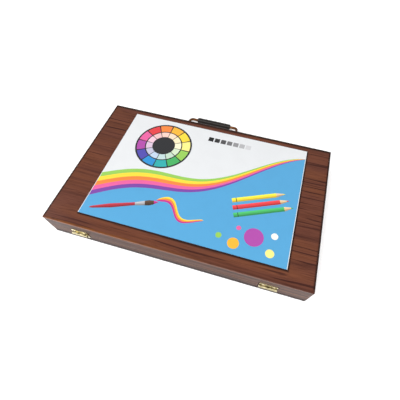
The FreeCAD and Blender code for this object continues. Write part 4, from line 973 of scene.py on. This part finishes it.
class ARTCASE_OT_brushes(Operator):
    """Finish the brushes"""
    bl_idname = "art_case.brushes"
    bl_label = "Brushes"

    CRIMPS, CRIMP_EDGE = (0.005, 0.009), (0.0002, 0.0009)

    def execute(self, context):
        settings = context.scene.art_case
        self.supply, self.metal = settings.supply, settings.metal
        lacquer = plain_paint(self.supply.brush, scale=120.0, gloss=0.18, amount=0.25)
        gloss = {"Coat Weight": 0.6, "Coat Roughness": 0.08}
        dress(finish("brush_lacquer", lacquer, bump=0.1, sockets=gloss), "brush_handles")
        dress(finish("ferrule", self.ferrule, bump=0.6, depth=0.0004, sockets={"Metallic": 1.0}),
              "brush_ferrules")
        dress(finish("tuft", self.tuft, bump=0.6, depth=0.0003), "brush_tufts")
        return {"FINISHED"}

    def ferrule(self, place):
        """Drawn metal with two crimped rings near the handle."""
        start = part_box("brush_ferrules")[0].y
        base, rough, height = handled(place, self.metal.steel, scale=220.0, gloss=0.22, amount=0.3)
        y = parts(place)[1]
        crimps = [minus(1.0, band(distance(y, start + off), *self.CRIMP_EDGE))
                  for off in self.CRIMPS]
        return base, rough, minus(times(height, 0.1), most(*crimps))

    def tuft(self, place):
        """Hairs along the brush, darker towards the point."""
        hairs = noise(place, (3800.0, 40.0, 3800.0))
        low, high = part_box("brush_tufts")
        tip = band(parts(place)[1], (low.y + high.y) / 2.0, high.y)
        base = mixed(tip, self.supply.hair, self.supply.hair_tip)
        tint, rough, _ = handled(place, base, scale=150.0, gloss=0.45, amount=0.3)
        return mixed(0.7, tint, hairs, "SOFT_LIGHT"), rough, hairs


class ARTCASE_OT_small_tools(Operator):
    """Finish the sharpener, the eraser and the sanding block"""
    bl_idname = "art_case.small_tools"
    bl_label = "Small Tools"

    BLOCK_DEEP, BLOCK_WARM = (0.42, 0.25, 0.12), (0.74, 0.54, 0.33)

    def execute(self, context):
        settings = context.scene.art_case
        self.wood, self.supply = settings.wood, settings.supply
        body = plain_paint(settings.plastic.sharpener, scale=170.0, gloss=0.3, amount=0.3)
        blade = plain_paint(settings.metal.steel, scale=260.0, gloss=0.18, amount=0.3)
        rubber = plain_paint(settings.plastic.eraser, scale=120.0, gloss=0.7, amount=0.18)
        dress(finish("sharpener_plastic", body, bump=0.15), "sharpener_body")
        dress(finish("blade_steel", blade, bump=0.1, depth=0.0001, sockets={"Metallic": 1.0}),
              "sharpener_blade", "sharpener_screw")
        dress(finish("eraser_rubber", rubber, depth=0.0003), "eraser")
        dress(finish("pale_wood", self.block, bump=0.25, depth=0.0003), "sanding_block")
        dress(finish("abrasive", self.grit, bump=0.8, depth=0.0005), "abrasive_sheet")
        return {"FINISHED"}

    def block(self, place):
        """Planed pale wood, grain across the case."""
        tint, rough, height = grain(place, "Y", self.BLOCK_DEEP, self.wood.pale, self.BLOCK_WARM)
        return tint, plus(rough, 0.35), height

    def grit(self, place):
        """Grains of abrasive glued to paper."""
        cells = node("TexVoronoi", {"Vector": place, "Scale": 2200.0}).outputs[0]
        base, rough, _ = handled(place, self.supply.grit, scale=300.0, gloss=0.75, amount=0.5)
        return mixed(0.5, base, cells, "SOFT_LIGHT"), rough, minus(1.0, cells)


OPERATORS = (
    ARTCASE_OT_stage, ARTCASE_OT_walnut, ARTCASE_OT_brassware, ARTCASE_OT_grip, ARTCASE_OT_label,
    ARTCASE_OT_trays, ARTCASE_OT_pencils, ARTCASE_OT_pastels, ARTCASE_OT_cakes, ARTCASE_OT_brushes,
    ARTCASE_OT_small_tools,
)


class ARTCASE_PT_finish(Panel):
    """The case's pieces, one button each"""
    bl_idname = "ARTCASE_PT_finish"
    bl_label = "Art Case"
    bl_space_type = "VIEW_3D"
    bl_region_type = "UI"
    bl_category = "Art Case"

    def draw(self, context):
        for operator in OPERATORS:
            self.layout.operator(operator.bl_idname)


CLASSES = (WoodSettings, LabelSettings, MetalSettings, PlasticSettings, SupplySettings, StageSettings,
           ArtCaseSettings, *OPERATORS, ARTCASE_PT_finish)


def register():
    """Make the settings, the operators and the panel known."""
    for entry in CLASSES:
        bpy.utils.register_class(entry)
    bpy.types.Scene.art_case = PointerProperty(type=ArtCaseSettings)


def unregister():
    """Take them away again."""
    del bpy.types.Scene.art_case
    for entry in reversed(CLASSES):
        bpy.utils.unregister_class(entry)


def main():
    """Finish every piece in turn."""
    register()
    bpy.ops.art_case.stage()
    bpy.ops.art_case.walnut()
    bpy.ops.art_case.brassware()
    bpy.ops.art_case.grip()
    bpy.ops.art_case.label()
    bpy.ops.art_case.trays()
    bpy.ops.art_case.pencils()
    bpy.ops.art_case.pastels()
    bpy.ops.art_case.cakes()
    bpy.ops.art_case.brushes()
    bpy.ops.art_case.small_tools()


if __name__ == "__main__":
    main()
